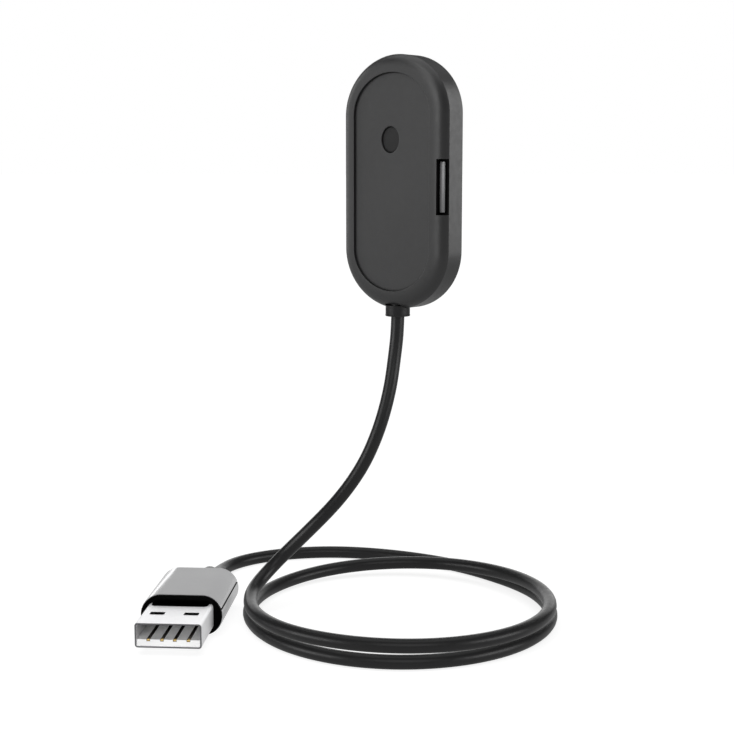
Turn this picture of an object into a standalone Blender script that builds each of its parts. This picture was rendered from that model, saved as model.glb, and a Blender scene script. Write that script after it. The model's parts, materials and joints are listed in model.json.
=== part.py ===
"""Magnetic USB charging lead for a fitness tracker, built as an assembly.

A flat pill-shaped dock head hangs at the top of the lead. Its lead drops to the floor, lies there
in two stacked turns and ends in a USB-A plug. Lengths are in metres. +Z is up, the head's panel and
reset button face -Y, its release latch is on +X, and the tracker seats on the +Y side. The origin
is the middle of the dock pocket's floor, where the tracker's back rests.
"""

import math

import bmesh
import bpy
import numpy as np
from mathutils import Vector

MM = 0.001
GAP = 0.3 * MM  # clearance between neighbouring pieces

# Dock head: its outline has straight sides and elliptical ends.
HALF_WIDTH = 12.92 * MM
CAP_HEIGHT = 11.4 * MM
STRAIGHT_HALF = 12.8 * MM
CAP_SEGMENTS = 22

# Depths in the head, along Y. The tracker side is +Y.
POCKET_DEPTH = 0.7 * MM
HEAD_DEPTH = 6.0 * MM
BACK_Y = POCKET_DEPTH
RIM_Y = BACK_Y - HEAD_DEPTH
SHOULDER_DEPTH = 1.85 * MM
SHOULDER_WIDTH = 3.45 * MM
SHOULDER_CROWN = 2.2 * MM  # how far the shoulder stays flat beside the panel
SHOULDER_SIDE = 1.25 * MM  # how far it stays steep above the crease
CREASE_ANGLE_DEG = 70.0  # its slope where it meets the side wall
CREASE_Y = RIM_Y + SHOULDER_DEPTH
SHOULDER_STEPS = 8
PANEL_RECESS = 0.5 * MM
PANEL_THICK = 0.8 * MM
PANEL_Y = RIM_Y + PANEL_RECESS
LEDGE_Y = PANEL_Y + PANEL_THICK + GAP
LEDGE_THICK = 0.6 * MM
LEDGE_WIDTH = 1.0 * MM
CAVITY_FRONT_Y = LEDGE_Y + LEDGE_THICK
CAVITY_INSET = 2.2 * MM
COVER_THICK = 1.3 * MM
COVER_FRONT_Y = BACK_Y - COVER_THICK
COVER_SEAT_Y = COVER_FRONT_Y - GAP
COVER_OPENING_INSET = 1.4 * MM
POCKET_INSET = 4.5 * MM
EDGE_CHAMFER = 0.3 * MM

# Reset button and its switch, at the upper half of the panel.
BUTTON_X = -0.5 * MM
BUTTON_Z = 8.15 * MM
BUTTON_HOLE_HALF_WIDTH = 2.23 * MM
BUTTON_HOLE_HALF_HEIGHT = 2.53 * MM
BUTTON_SINK = 0.25 * MM
BUTTON_FLANGE = 0.27 * MM
BUTTON_FLANGE_THICK = 0.4 * MM
SWITCH_SIDE = 3.6 * MM
SWITCH_THICK = 0.7 * MM
SWITCH_PLUNGER_RADIUS = 0.65 * MM
SWITCH_PLUNGER_LENGTH = 0.7 * MM

# Release latch in the slot of the right shoulder.
SLOT_Z = (-5.95 * MM, 4.43 * MM)
SLOT_INNER_X = 11.15 * MM
LATCH_POCKET_X = 10.0 * MM
LATCH_POCKET_DEPTH = 0.9 * MM
LATCH_X = (11.2 * MM, 12.35 * MM)
LATCH_BACK_Y = CREASE_Y - 0.5 * MM
LATCH_Z = (-5.45 * MM, 3.93 * MM)
LATCH_THICK = 0.3 * MM
LEAF_THICK = 0.12 * MM
LEAF_BOW = 0.35 * MM
LEAF_HALF_LENGTH = 3.5 * MM

# Circuit board with the parts on it.
BOARD_Z = (-9.7 * MM, 13.3 * MM)
BOARD_HALF_WIDTH = 6.5 * MM
BOARD_THICK = 0.6 * MM
BOARD_BACK_Y = COVER_FRONT_Y - GAP
BOARD_FRONT_Y = BOARD_BACK_Y - BOARD_THICK

# Spring contacts, magnets and screws.
POGO_X = 2.0 * MM
POGO_Z = -4.0 * MM
POGO_BARREL_RADIUS = 0.8 * MM
POGO_BORE_RADIUS = 0.5 * MM
POGO_PIN_RADIUS = 0.35 * MM
POGO_BARREL_TOP_Y = -0.25 * MM
POGO_BARREL_LENGTH = 2.45 * MM
POGO_PIN_LENGTH = 2.15 * MM
POGO_PROUD = 0.85 * MM
MAGNET_RADIUS = 2.0 * MM
MAGNET_THICK = 1.3 * MM
MAGNET_Z = (16.3 * MM, -13.2 * MM)
SCREW_INSET = 3.1 * MM
SCREW_HEAD_RADIUS = 1.0 * MM
SCREW_HEAD_THICK = 0.5 * MM
SCREW_SHAFT_RADIUS = 0.55 * MM
SCREW_LENGTH = 2.9 * MM
BOSS_RADIUS = 1.4 * MM

# Collar where the lead leaves the head.
CORD_RADIUS = 1.3 * MM
COLLAR_Y = -3.0 * MM
COLLAR_RADIUS = 2.42 * MM
COLLAR_NECK_RADIUS = 1.3 * MM
COLLAR_BOTTOM_Z = -25.7 * MM
COLLAR_SHOULDER_Z = -23.6 * MM
COLLAR_TOP_Z = -21.8 * MM

# Floor under the lead, and the coil on it.
FLOOR_Z = -83.0 * MM
COIL_CENTRE = (7.45 * MM, -10.3 * MM)
COIL_STEP_DEG = 15.0

# USB-A plug, lying on the floor.
PLUG_TIP = (-8.36 * MM, -55.18 * MM)
PLUG_HEADING_DEG = 128.0
CASING_HALF_WIDTH = 7.7 * MM
CASING_HALF_HEIGHT = 3.85 * MM
SHELL_HALF_WIDTH = 6.0 * MM
SHELL_HALF_HEIGHT = 2.25 * MM
SHELL_WALL = 0.3 * MM
SHELL_LENGTH = 14.7 * MM
SHELL_VISIBLE = 11.75 * MM
TONGUE_TOP = -0.75 * MM
TONGUE_START = 0.3 * MM
CONTACT_X = (-3.6 * MM, -1.15 * MM, 1.15 * MM, 3.6 * MM)
CONTACT_HALF_WIDTH = 0.25 * MM
CASING_START = 12.45 * MM
CASING_END = 30.5 * MM
CASING_WALL = 0.5 * MM
CASING_SPLIT_Z = 1.25 * MM
RELIEF_RADIUS = 2.7 * MM
RELIEF_END = 36.0 * MM

# The lead's route where it isn't coiled, in millimetres: the drop from the head to the coil.
DROP_MM = [
    (0.0, -3.0, -26.0),
    (0.0, -3.25, -29.5),
    (0.0, -4.0, -34.0),
    (0.2, -5.2, -38.5),
    (0.1, -6.4, -42.5),
    (-0.3, -7.55, -46.2),
    (-1.1, -8.75, -50.0),
    (-2.35, -10.15, -54.0),
    (-4.1, -11.8, -57.9),
    (-6.3, -14.0, -61.9),
    (-9.0, -16.6, -65.9),
    (-12.3, -18.5, -69.8),
    (-15.4, -21.15, -73.9),
    (-16.1, -24.0, -76.2),
    (-15.35, -27.45, -77.85),
]

# Stations of the coil: angle round its centre, radius and height of the lead's middle, in
# degrees and millimetres. The upper turn is followed by the lower one.
COIL_STATIONS = [
    (228.0, 29.0, 4.2),
    (243.0, 29.15, 4.05),
    (285.0, 28.7, 4.05),
    (365.0, 29.0, 4.05),
    (400.0, 28.1, 4.05),
    (425.0, 27.4, 3.95),
    (445.0, 27.5, 3.6),
    (465.0, 28.1, 3.2),
    (495.0, 28.9, 2.6),
    (525.0, 29.6, 1.95),
    (550.0, 29.8, 1.4),
    (575.0, 29.4, 1.3),
    (600.0, 28.9, 1.3),
    (660.0, 29.05, 1.3),
    (735.0, 28.4, 1.3),
    (765.0, 28.7, 1.3),
    (795.0, 29.7, 1.3),
    (812.0, 30.9, 1.3),
    (828.0, 33.4, 1.3),
    (843.0, 36.6, 1.3),
    (858.0, 40.8, 1.3),
]

# From the coil back to the plug, in millimetres above the floor.
TAIL_MM = [
    (-31.5, 11.6, 1.3),
    (-35.2, 7.7, 1.3),
    (-38.1, 3.3, 1.3),
    (-40.1, -1.6, 1.3),
    (-40.9, -6.6, 1.3),
    (-40.3, -11.4, 1.3),
    (-38.4, -15.8, 1.4),
    (-35.6, -20.0, 2.3),
]


# --- Scene set-up ---------------------------------------------------------------------------


def clear_scene():
    for obj in list(bpy.data.objects):
        bpy.data.objects.remove(obj, do_unlink=True)


def make_collection(name):
    collection = bpy.data.collections.new(name)
    bpy.context.scene.collection.children.link(collection)
    return collection


def make_material(name, color, roughness, metallic=0.0):
    material = bpy.data.materials.new(name)
    material.use_nodes = True
    shader = material.node_tree.nodes["Principled BSDF"]
    shader.inputs["Base Color"].default_value = (*color, 1.0)
    shader.inputs["Roughness"].default_value = roughness
    shader.inputs["Metallic"].default_value = metallic
    return material


clear_scene()
PARTS = make_collection("charging_lead")
CUTTERS = make_collection("cutters")

SATIN_BLACK = make_material("satin_black_plastic", (0.035, 0.035, 0.037), 0.42)
PANEL_BLACK = make_material("panel_black_plastic", (0.045, 0.045, 0.047), 0.5)
BUTTON_BLACK = make_material("button_black_rubber", (0.02, 0.02, 0.021), 0.55)
LATCH_GREY = make_material("latch_grey_steel", (0.3, 0.3, 0.31), 0.3, 1.0)
CORD_BLACK = make_material("cord_black_jacket", (0.03, 0.03, 0.031), 0.35)
BOARD_GREEN = make_material("board_green", (0.02, 0.16, 0.07), 0.45)
CHIP_BLACK = make_material("chip_black", (0.02, 0.02, 0.02), 0.4)
CERAMIC_TAN = make_material("ceramic_tan", (0.45, 0.32, 0.2), 0.5)
GOLD = make_material("gold_plate", (0.85, 0.6, 0.22), 0.22, 1.0)
NICKEL = make_material("nickel_magnet", (0.6, 0.6, 0.6), 0.25, 1.0)
STEEL = make_material("bright_steel", (0.8, 0.8, 0.81), 0.15, 1.0)
CASING_METAL = make_material("casing_grey_metal", (0.42, 0.42, 0.43), 0.22, 1.0)
CORE_BLACK = make_material("core_black_plastic", (0.012, 0.012, 0.012), 0.3)
TONGUE_WHITE = make_material("tongue_white_plastic", (0.82, 0.82, 0.82), 0.4)
RELIEF_GREY = make_material("relief_grey_plastic", (0.35, 0.35, 0.36), 0.45)
WIRE_RED = make_material("wire_red", (0.5, 0.03, 0.03), 0.45)
WIRE_BLACK = make_material("wire_black", (0.02, 0.02, 0.02), 0.45)


# --- Building blocks ------------------------------------------------------------------------


def add_object(name, data, material=None, cutter=False):
    obj = bpy.data.objects.new(name, data)
    if cutter:
        CUTTERS.objects.link(obj)
        obj.hide_render = True
        obj.display_type = "WIRE"
    else:
        PARTS.objects.link(obj)
    if material is not None:
        obj.data.materials.append(material)
    return obj


def finish_mesh(bm, name):
    """The mesh of this bmesh, with its faces turned out and its round sides shaded smooth."""
    bmesh.ops.recalc_face_normals(bm, faces=bm.faces)
    mesh = bpy.data.meshes.new(name)
    bm.to_mesh(mesh)
    bm.free()
    mesh.shade_smooth()
    mesh.set_sharp_from_angle(angle=math.radians(35))
    return mesh


def loft(name, rings, material=None, closed=False, cutter=False):
    """A solid through rings of points: capped at both ends, or joined end to start if closed."""
    bm = bmesh.new()
    loops = [[bm.verts.new(point) for point in ring] for ring in rings]
    pairs = list(zip(loops, loops[1:]))
    if closed:
        pairs.append((loops[-1], loops[0]))
    else:
        bm.faces.new(loops[0])
        bm.faces.new(loops[-1])
    for first, second in pairs:
        for i in range(len(first)):
            bm.faces.new((first[i - 1], first[i], second[i], second[i - 1]))
    bmesh.ops.remove_doubles(bm, verts=bm.verts, dist=0.001 * MM)
    return add_object(name, finish_mesh(bm, name), material, cutter)


def turned(name, profile, place, direction, material=None, steps=20, closed=False, cutter=False):
    """A turned piece. The profile holds (radius, height) from top to bottom down its outer side.

    Its height runs along direction from place. A closed profile makes a ring.
    """
    bm = bmesh.new()
    verts = [bm.verts.new((radius, 0.0, height)) for radius, height in profile]
    for first, second in zip(verts, verts[1:]):
        bm.edges.new((first, second))
    if closed:
        bm.edges.new((verts[-1], verts[0]))
    mesh = bpy.data.meshes.new(name)
    bm.to_mesh(mesh)
    bm.free()
    obj = add_object(name, mesh, material, cutter)
    obj.location = place
    obj.rotation_euler = Vector((0, 0, 1)).rotation_difference(Vector(direction)).to_euler()
    screw = obj.modifiers.new("turn", "SCREW")
    screw.axis = "Z"
    screw.steps = steps
    screw.render_steps = steps
    screw.use_merge_vertices = True
    screw.merge_threshold = 0.00001
    screw.use_smooth_shade = True
    return obj


def box(name, low, high, material=None, bevel=0.0, cutter=False):
    """A box between two corners, with its origin at its middle."""
    low = Vector(low)
    high = Vector(high)
    bm = bmesh.new()
    bmesh.ops.create_cube(bm, size=1.0)
    bmesh.ops.scale(bm, vec=high - low, verts=bm.verts)
    obj = add_object(name, finish_mesh(bm, name), material, cutter)
    obj.location = (low + high) / 2
    if bevel:
        edge = obj.modifiers.new("rounded edges", "BEVEL")
        edge.width = bevel
        edge.segments = 2
        edge.limit_method = "ANGLE"
    return obj


def peg(name, radius, start, end, steps=20, cutter=True):
    """A plain cylinder between two points, used to cut or to join."""
    start = Vector(start)
    end = Vector(end)
    length = (end - start).length
    profile = [(0.0, length), (radius, length), (radius, 0.0), (0.0, 0.0)]
    return turned(name, profile, start, end - start, steps=steps, cutter=cutter)


def cut(obj, cutter, operation="DIFFERENCE"):
    modifier = obj.modifiers.new(cutter.name, "BOOLEAN")
    modifier.operation = operation
    modifier.solver = "EXACT"
    modifier.object = cutter
    return modifier


def tube(name, points, radius, material, resolution=2):
    """A round tube with closed ends along a polyline."""
    curve = bpy.data.curves.new(name, "CURVE")
    curve.dimensions = "3D"
    curve.bevel_depth = radius
    curve.bevel_resolution = resolution
    curve.use_fill_caps = True
    spline = curve.splines.new("POLY")
    spline.points.add(len(points) - 1)
    for point, place in zip(spline.points, points):
        point.co = (*place, 1.0)
    return add_object(name, curve, material)


# --- Curves and outlines --------------------------------------------------------------------


def spline_values(stations, wanted):
    """Natural cubic spline through stations of (t, value...), read at each wanted t."""
    stations = np.array(stations, float)
    t = stations[:, 0]
    values = stations[:, 1:]
    step = np.diff(t)
    slope = np.diff(values, axis=0) / step[:, None]
    matrix = np.eye(len(t))
    right = np.zeros_like(values)
    for i in range(1, len(t) - 1):
        matrix[i, i - 1 : i + 2] = (step[i - 1], 2 * (step[i - 1] + step[i]), step[i])
        right[i] = 6 * (slope[i] - slope[i - 1])
    bend = np.linalg.solve(matrix, right)
    wanted = np.asarray(wanted, float)
    i = np.clip(np.searchsorted(t, wanted) - 1, 0, len(step) - 1)
    ahead = (t[i + 1] - wanted)[:, None]
    behind = (wanted - t[i])[:, None]
    width = step[i][:, None]
    curved = (bend[i] * ahead**3 + bend[i + 1] * behind**3) / (6 * width)
    start = (values[i] / width - bend[i] * width / 6) * ahead
    end = (values[i + 1] / width - bend[i + 1] * width / 6) * behind
    return curved + start + end


def smooth_route(points, count):
    """Evenly spaced points along the smooth curve through these."""
    points = np.array(points, float)
    chord = np.concatenate([[0.0], np.cumsum(np.linalg.norm(np.diff(points, axis=0), axis=1))])
    stations = np.column_stack([chord, points])
    fine = spline_values(stations, np.linspace(0.0, chord[-1], 4000))
    run = np.concatenate([[0.0], np.cumsum(np.linalg.norm(np.diff(fine, axis=0), axis=1))])
    even = np.linspace(0.0, run[-1], count)
    return np.column_stack([np.interp(even, run, fine[:, k]) for k in range(3)])


def pill_ring(inset, y):
    """The head's outline at depth y, moved in by inset."""
    half_width = HALF_WIDTH - inset
    cap = CAP_HEIGHT - inset
    ring = []
    for side in (1, -1):
        for i in range(CAP_SEGMENTS + 1):
            turn = math.pi * i / CAP_SEGMENTS
            x = side * half_width * math.cos(turn)
            z = side * (STRAIGHT_HALF + cap * math.sin(turn))
            ring.append((x, y, z))
    return ring


def oval_ring(half_width, half_height, y, segments=24):
    turns = [2 * math.pi * i / segments for i in range(segments)]
    return [(half_width * math.cos(a), y, half_height * math.sin(a)) for a in turns]


def rounded_ring(half_width, half_height, radius, y, segments=6):
    """A rectangle with rounded corners in the XZ plane at depth y."""
    ring = []
    for corner in range(4):
        x_side = 1 if corner in (0, 3) else -1
        z_side = 1 if corner in (0, 1) else -1
        for i in range(segments + 1):
            turn = math.pi / 2 * (corner + i / segments)
            x = x_side * (half_width - radius) + radius * math.cos(turn)
            z = z_side * (half_height - radius) + radius * math.sin(turn)
            ring.append((x, y, z))
    return ring


# --- Dock head: casing ----------------------------------------------------------------------


def screw_places():
    """The four cover screws, on the diagonals of the head's rounded ends."""
    reach = math.sqrt(0.5)
    x = (HALF_WIDTH - SCREW_INSET) * reach
    z = STRAIGHT_HALF + (CAP_HEIGHT - SCREW_INSET) * reach
    return [(x, z), (-x, z), (-x, -z), (x, -z)]


def shoulder_rings():
    """From the panel's rim round to the crease: one Bezier arc, flat at first and steep at last."""
    slope = math.radians(CREASE_ANGLE_DEG)
    rim = Vector((SHOULDER_WIDTH, 0.0))
    crown = Vector((SHOULDER_WIDTH - SHOULDER_CROWN, 0.0))
    crease = Vector((0.0, SHOULDER_DEPTH))
    side = crease + SHOULDER_SIDE * Vector((math.cos(slope), -math.sin(slope)))
    rings = []
    for i in range(SHOULDER_STEPS + 1):
        t = i / SHOULDER_STEPS
        u = 1 - t
        inset, depth = u**3 * rim + 3 * u**2 * t * crown + 3 * u * t**2 * side + t**3 * crease
        rings.append(pill_ring(inset, RIM_Y + depth))
    return rings


def build_housing():
    ledge_inset = SHOULDER_WIDTH + LEDGE_WIDTH
    rings = [
        pill_ring(ledge_inset, CAVITY_FRONT_Y),
        pill_ring(ledge_inset, LEDGE_Y),
        pill_ring(SHOULDER_WIDTH, LEDGE_Y),
    ]
    rings += shoulder_rings()
    rings += [
        pill_ring(0.0, BACK_Y - EDGE_CHAMFER),
        pill_ring(EDGE_CHAMFER, BACK_Y),
        pill_ring(COVER_OPENING_INSET, BACK_Y),
        pill_ring(COVER_OPENING_INSET, COVER_SEAT_Y),
        pill_ring(CAVITY_INSET, COVER_SEAT_Y),
        pill_ring(CAVITY_INSET, CAVITY_FRONT_Y),
    ]
    housing = loft("dock_housing", rings, SATIN_BLACK, closed=True)
    add_screw_bosses(housing)
    cut_latch_slot(housing)
    cut_cord_hole(housing)
    return housing


def add_screw_bosses(housing):
    for i, (x, z) in enumerate(screw_places()):
        front = (x, CAVITY_FRONT_Y - 0.3 * MM, z)
        back = (x, COVER_SEAT_Y, z)
        cut(housing, peg(f"boss_{i}", BOSS_RADIUS, front, back), "UNION")
    for i, (x, z) in enumerate(screw_places()):
        front = (x, BACK_Y - SCREW_LENGTH - GAP, z)
        back = (x, BACK_Y, z)
        radius = SCREW_SHAFT_RADIUS + GAP
        cut(housing, peg(f"boss_hole_{i}", radius, front, back, steps=12))


def cut_latch_slot(housing):
    low_z, high_z = SLOT_Z
    outside = 2 * MM
    low = (SLOT_INNER_X, RIM_Y - outside, low_z)
    high = (HALF_WIDTH + outside, CREASE_Y, high_z)
    cut(housing, box("slot_opening", low, high, cutter=True))
    low = (LATCH_POCKET_X, CREASE_Y - LATCH_POCKET_DEPTH, low_z)
    high = (SLOT_INNER_X + 0.5 * MM, CREASE_Y, high_z)
    cut(housing, box("latch_pocket", low, high, cutter=True))


def cut_cord_hole(housing):
    below = (0.0, COLLAR_Y, COLLAR_BOTTOM_Z)
    mouth_top = (0.0, COLLAR_Y, COLLAR_SHOULDER_Z + GAP)
    cut(housing, peg("collar_mouth", COLLAR_RADIUS + GAP, below, mouth_top, steps=28))
    neck_top = (0.0, COLLAR_Y, COLLAR_TOP_Z + 0.4 * MM)
    cut(housing, peg("collar_bore", COLLAR_NECK_RADIUS + GAP, below, neck_top))


def build_front_panel():
    inset = SHOULDER_WIDTH + GAP
    rings = [pill_ring(inset, PANEL_Y), pill_ring(inset, PANEL_Y + PANEL_THICK)]
    panel = loft("front_panel", rings, PANEL_BLACK)
    hole_rings = []
    for y in (PANEL_Y - MM, PANEL_Y + PANEL_THICK + MM):
        hole_rings.append(oval_ring(BUTTON_HOLE_HALF_WIDTH, BUTTON_HOLE_HALF_HEIGHT, y))
    hole = loft("button_hole", hole_rings, cutter=True)
    hole.location = (BUTTON_X, 0.0, BUTTON_Z)
    cut(panel, hole)


def build_rear_cover():
    edge = COVER_OPENING_INSET + GAP
    chamfer = 0.2 * MM
    rings = [
        pill_ring(edge, COVER_FRONT_Y),
        pill_ring(edge, BACK_Y - chamfer),
        pill_ring(edge + chamfer, BACK_Y),
        pill_ring(POCKET_INSET, BACK_Y),
        pill_ring(POCKET_INSET, 0.0),
    ]
    cover = loft("rear_cover", rings, SATIN_BLACK)
    inside = COVER_FRONT_Y - MM
    for i, (x, z) in enumerate(screw_places()):
        hole_radius = SCREW_SHAFT_RADIUS + GAP
        outside = (x, BACK_Y + MM, z)
        cut(cover, peg(f"cover_hole_{i}", hole_radius, (x, inside, z), outside, steps=12))
        seat = (x, BACK_Y - SCREW_HEAD_THICK - GAP, z)
        cut(cover, peg(f"cover_seat_{i}", SCREW_HEAD_RADIUS + GAP, seat, outside, steps=16))
    for side in (-1, 1):
        x = side * POGO_X
        radius = POGO_BARREL_RADIUS + GAP
        low = (x, inside, POGO_Z)
        cut(cover, peg(f"cover_pogo_hole_{side + 1}", radius, low, (x, MM, POGO_Z), steps=16))


def build_cover_screws():
    """Pan-head screws with a cross cut, driven in from the tracker side."""
    for i, (x, z) in enumerate(screw_places()):
        head = SCREW_HEAD_RADIUS
        shaft = SCREW_SHAFT_RADIUS
        profile = [
            (0.0, 0.0),
            (head * 0.8, 0.0),
            (head, -0.15 * MM),
            (head, -SCREW_HEAD_THICK),
            (shaft, -SCREW_HEAD_THICK),
            (shaft, -SCREW_LENGTH + 0.4 * MM),
            (0.0, -SCREW_LENGTH),
        ]
        name = f"cover_screw_{i + 1}"
        screw = turned(name, profile, (x, BACK_Y, z), (0, 1, 0), STEEL, steps=12)
        arm = 0.65 * MM
        blade = 0.13 * MM
        depth = 0.25 * MM
        for k, (half_x, half_z) in enumerate(((arm, blade), (blade, arm))):
            low = (x - half_x, BACK_Y - depth, z - half_z)
            high = (x + half_x, BACK_Y + depth, z + half_z)
            cut(screw, box(f"screw_cross_{i}_{k}", low, high, cutter=True))


# --- Dock head: moving pieces ---------------------------------------------------------------


def build_reset_button():
    """An oval cap in the panel's hole, with a wider flange behind the panel that keeps it in."""
    half_width = BUTTON_HOLE_HALF_WIDTH - GAP
    half_height = BUTTON_HOLE_HALF_HEIGHT - GAP
    chamfer = 0.1 * MM
    face = PANEL_Y + BUTTON_SINK
    flange_front = PANEL_Y + PANEL_THICK + GAP
    wide = BUTTON_HOLE_HALF_WIDTH + BUTTON_FLANGE
    tall = BUTTON_HOLE_HALF_HEIGHT + BUTTON_FLANGE
    rings = [
        oval_ring(half_width - chamfer, half_height - chamfer, 0.0),
        oval_ring(half_width, half_height, chamfer),
        oval_ring(half_width, half_height, flange_front - face),
        oval_ring(wide, tall, flange_front - face),
        oval_ring(wide, tall, flange_front - face + BUTTON_FLANGE_THICK),
    ]
    button = loft("reset_button", rings, BUTTON_BLACK)
    button.location = (BUTTON_X, face, BUTTON_Z)


def build_reset_switch():
    """The tactile switch under the button: a square body on the board and its own plunger."""
    back = BOARD_FRONT_Y - GAP
    front = back - SWITCH_THICK
    half = SWITCH_SIDE / 2
    low = (BUTTON_X - half, front, BUTTON_Z - half)
    high = (BUTTON_X + half, back, BUTTON_Z + half)
    body = box("reset_switch_body", low, high, CHIP_BLACK)
    floor = (BUTTON_X, back - 0.15 * MM, BUTTON_Z)
    well = SWITCH_PLUNGER_RADIUS + GAP
    mouth = (BUTTON_X, front - MM, BUTTON_Z)
    cut(body, peg("switch_well", well, mouth, floor, steps=16))
    radius = SWITCH_PLUNGER_RADIUS
    length = SWITCH_PLUNGER_LENGTH
    profile = [(0.0, length), (radius, length), (radius, 0.0), (0.0, 0.0)]
    base = (BUTTON_X, front + 0.2 * MM, BUTTON_Z)
    turned("reset_switch_plunger", profile, base, (0, -1, 0), LATCH_GREY, steps=14)


def build_release_latch():
    low = (LATCH_X[0], LATCH_BACK_Y - LATCH_THICK, LATCH_Z[0])
    high = (LATCH_X[1], LATCH_BACK_Y, LATCH_Z[1])
    box("release_latch", low, high, LATCH_GREY, bevel=0.1 * MM)


def build_latch_spring():
    """A bowed strip of spring steel between the latch and the inner end of its pocket."""
    middle_z = sum(LATCH_Z) / 2
    half_depth = LATCH_THICK / 2
    bm = bmesh.new()
    columns = 10
    rows = []
    for i in range(columns + 1):
        z = LEAF_HALF_LENGTH * (2 * i / columns - 1)
        x = LEAF_BOW * math.cos(math.pi / 2 * z / LEAF_HALF_LENGTH)
        rows.append([bm.verts.new((x, -half_depth, z)), bm.verts.new((x, half_depth, z))])
    edges = [bm.edges.new(row) for row in rows]
    for first, second in zip(edges, edges[1:]):
        bmesh.ops.contextual_create(bm, geom=[*first.verts, *second.verts])
    spring = add_object("latch_leaf_spring", finish_mesh(bm, "latch_leaf_spring"), STEEL)
    spring.location = (LATCH_POCKET_X + GAP, LATCH_BACK_Y - half_depth, middle_z)
    skin = spring.modifiers.new("thickness", "SOLIDIFY")
    skin.thickness = LEAF_THICK
    skin.offset = 0.0


def pogo_name(kind, side):
    return f"pogo_{kind}_{'right' if side > 0 else 'left'}"


def build_pogo(side):
    """One spring contact: a cup-shaped barrel through the board, its pin and its spring."""
    x = side * POGO_X
    outer = POGO_BARREL_RADIUS
    bore = POGO_BORE_RADIUS
    length = POGO_BARREL_LENGTH
    floor = 0.3 * MM
    profile = [
        (0.0, floor - length),
        (bore, floor - length),
        (bore, 0.0),
        (outer, 0.0),
        (outer, -length),
        (0.0, -length),
    ]
    top = (x, POGO_BARREL_TOP_Y, POGO_Z)
    turned(pogo_name("barrel", side), profile, top, (0, 1, 0), GOLD, steps=16)
    tip = 0.2 * MM
    pin = POGO_PIN_RADIUS
    profile = [
        (0.0, 0.0),
        (pin * 0.6, -0.05 * MM),
        (pin, -tip),
        (pin, -POGO_PIN_LENGTH),
        (0.0, -POGO_PIN_LENGTH),
    ]
    turned(pogo_name("pin", side), profile, (x, POGO_PROUD, POGO_Z), (0, 1, 0), GOLD, steps=12)
    build_pogo_spring(side, POGO_BARREL_TOP_Y - length + floor)


def build_pogo_spring(side, bore_end_y):
    """A small compression spring between the barrel's floor and the pin."""
    turns = 4
    points_a_turn = 10
    wire = 0.06 * MM
    end_gap = 0.12 * MM
    start = bore_end_y + end_gap + wire
    end = POGO_PROUD - POGO_PIN_LENGTH - end_gap - wire
    radius = 0.3 * MM
    count = turns * points_a_turn
    points = []
    for i in range(count + 1):
        turn = 2 * math.pi * i / points_a_turn
        x = side * POGO_X + radius * math.cos(turn)
        z = POGO_Z + radius * math.sin(turn)
        points.append((x, start + (end - start) * i / count, z))
    tube(pogo_name("spring", side), points, wire, STEEL, resolution=1)


# --- Dock head: fixed pieces inside ---------------------------------------------------------


def build_board():
    low_z, high_z = BOARD_Z
    half_height = (high_z - low_z) / 2
    rings = []
    for y in (BOARD_FRONT_Y, BOARD_BACK_Y):
        rings.append(rounded_ring(BOARD_HALF_WIDTH, half_height, 2.5 * MM, y, segments=4))
    board = loft("circuit_board", rings, BOARD_GREEN)
    board.location = (0.0, 0.0, (low_z + high_z) / 2)
    radius = POGO_BARREL_RADIUS + GAP
    for side in (-1, 1):
        x = side * POGO_X
        low = (x, BOARD_FRONT_Y - MM, POGO_Z)
        high = (x, BOARD_BACK_Y + MM, POGO_Z)
        cut(board, peg(f"board_hole_{side + 1}", radius, low, high, steps=16))


def build_board_parts():
    back = BOARD_FRONT_Y - GAP
    half = 2.0 * MM
    chip_z = 1.5 * MM
    low = (-half, back - 0.8 * MM, chip_z - half)
    box("charge_controller", low, (half, back, chip_z + half), CHIP_BLACK, bevel=0.1 * MM)
    for i, x in enumerate((-4.4 * MM, 4.4 * MM)):
        low = (x - 0.4 * MM, back - 0.8 * MM, chip_z - 0.8 * MM)
        high = (x + 0.4 * MM, back, chip_z + 0.8 * MM)
        box(f"capacitor_{i + 1}", low, high, CERAMIC_TAN)


def build_magnets():
    back = COVER_FRONT_Y - GAP
    radius = MAGNET_RADIUS
    edge = 0.15 * MM
    for name, z in zip(("magnet_upper", "magnet_lower"), MAGNET_Z):
        profile = [
            (0.0, 0.0),
            (radius - edge, 0.0),
            (radius, -edge),
            (radius, edge - MAGNET_THICK),
            (radius - edge, -MAGNET_THICK),
            (0.0, -MAGNET_THICK),
        ]
        turned(name, profile, (0.0, back, z), (0, 1, 0), NICKEL, steps=24)


def build_wires():
    """The two conductors, from the lead's end in the collar up to the board's lower edge."""
    front = BOARD_FRONT_Y / MM - 0.6
    materials = {-1: WIRE_RED, 1: WIRE_BLACK}
    for side, name in ((-1, "wire_power"), (1, "wire_ground")):
        points = [
            (side * 0.55, -2.35, -21.4),
            (side * 0.9, -2.3, -19.5),
            (side * 2.2, -2.15, -17.0),
            (side * 3.1, front, -14.0),
            (side * 3.1, front, -11.5),
            (side * 2.7, front, -8.8),
        ]
        route = smooth_route(points, 12) * MM
        tube(name, [tuple(point) for point in route], 0.22 * MM, materials[side], resolution=1)


def build_collar():
    edge = 0.15 * MM
    length = COLLAR_TOP_Z - COLLAR_BOTTOM_Z
    shoulder = COLLAR_SHOULDER_Z - COLLAR_BOTTOM_Z
    profile = [
        (0.0, length),
        (COLLAR_NECK_RADIUS, length),
        (COLLAR_NECK_RADIUS, shoulder),
        (COLLAR_RADIUS, shoulder),
        (COLLAR_RADIUS, edge),
        (COLLAR_RADIUS - edge, 0.0),
        (0.0, 0.0),
    ]
    place = (0.0, COLLAR_Y, COLLAR_BOTTOM_Z)
    turned("cable_collar", profile, place, (0, 0, 1), SATIN_BLACK, steps=28)


# --- The lead -------------------------------------------------------------------------------


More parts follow.
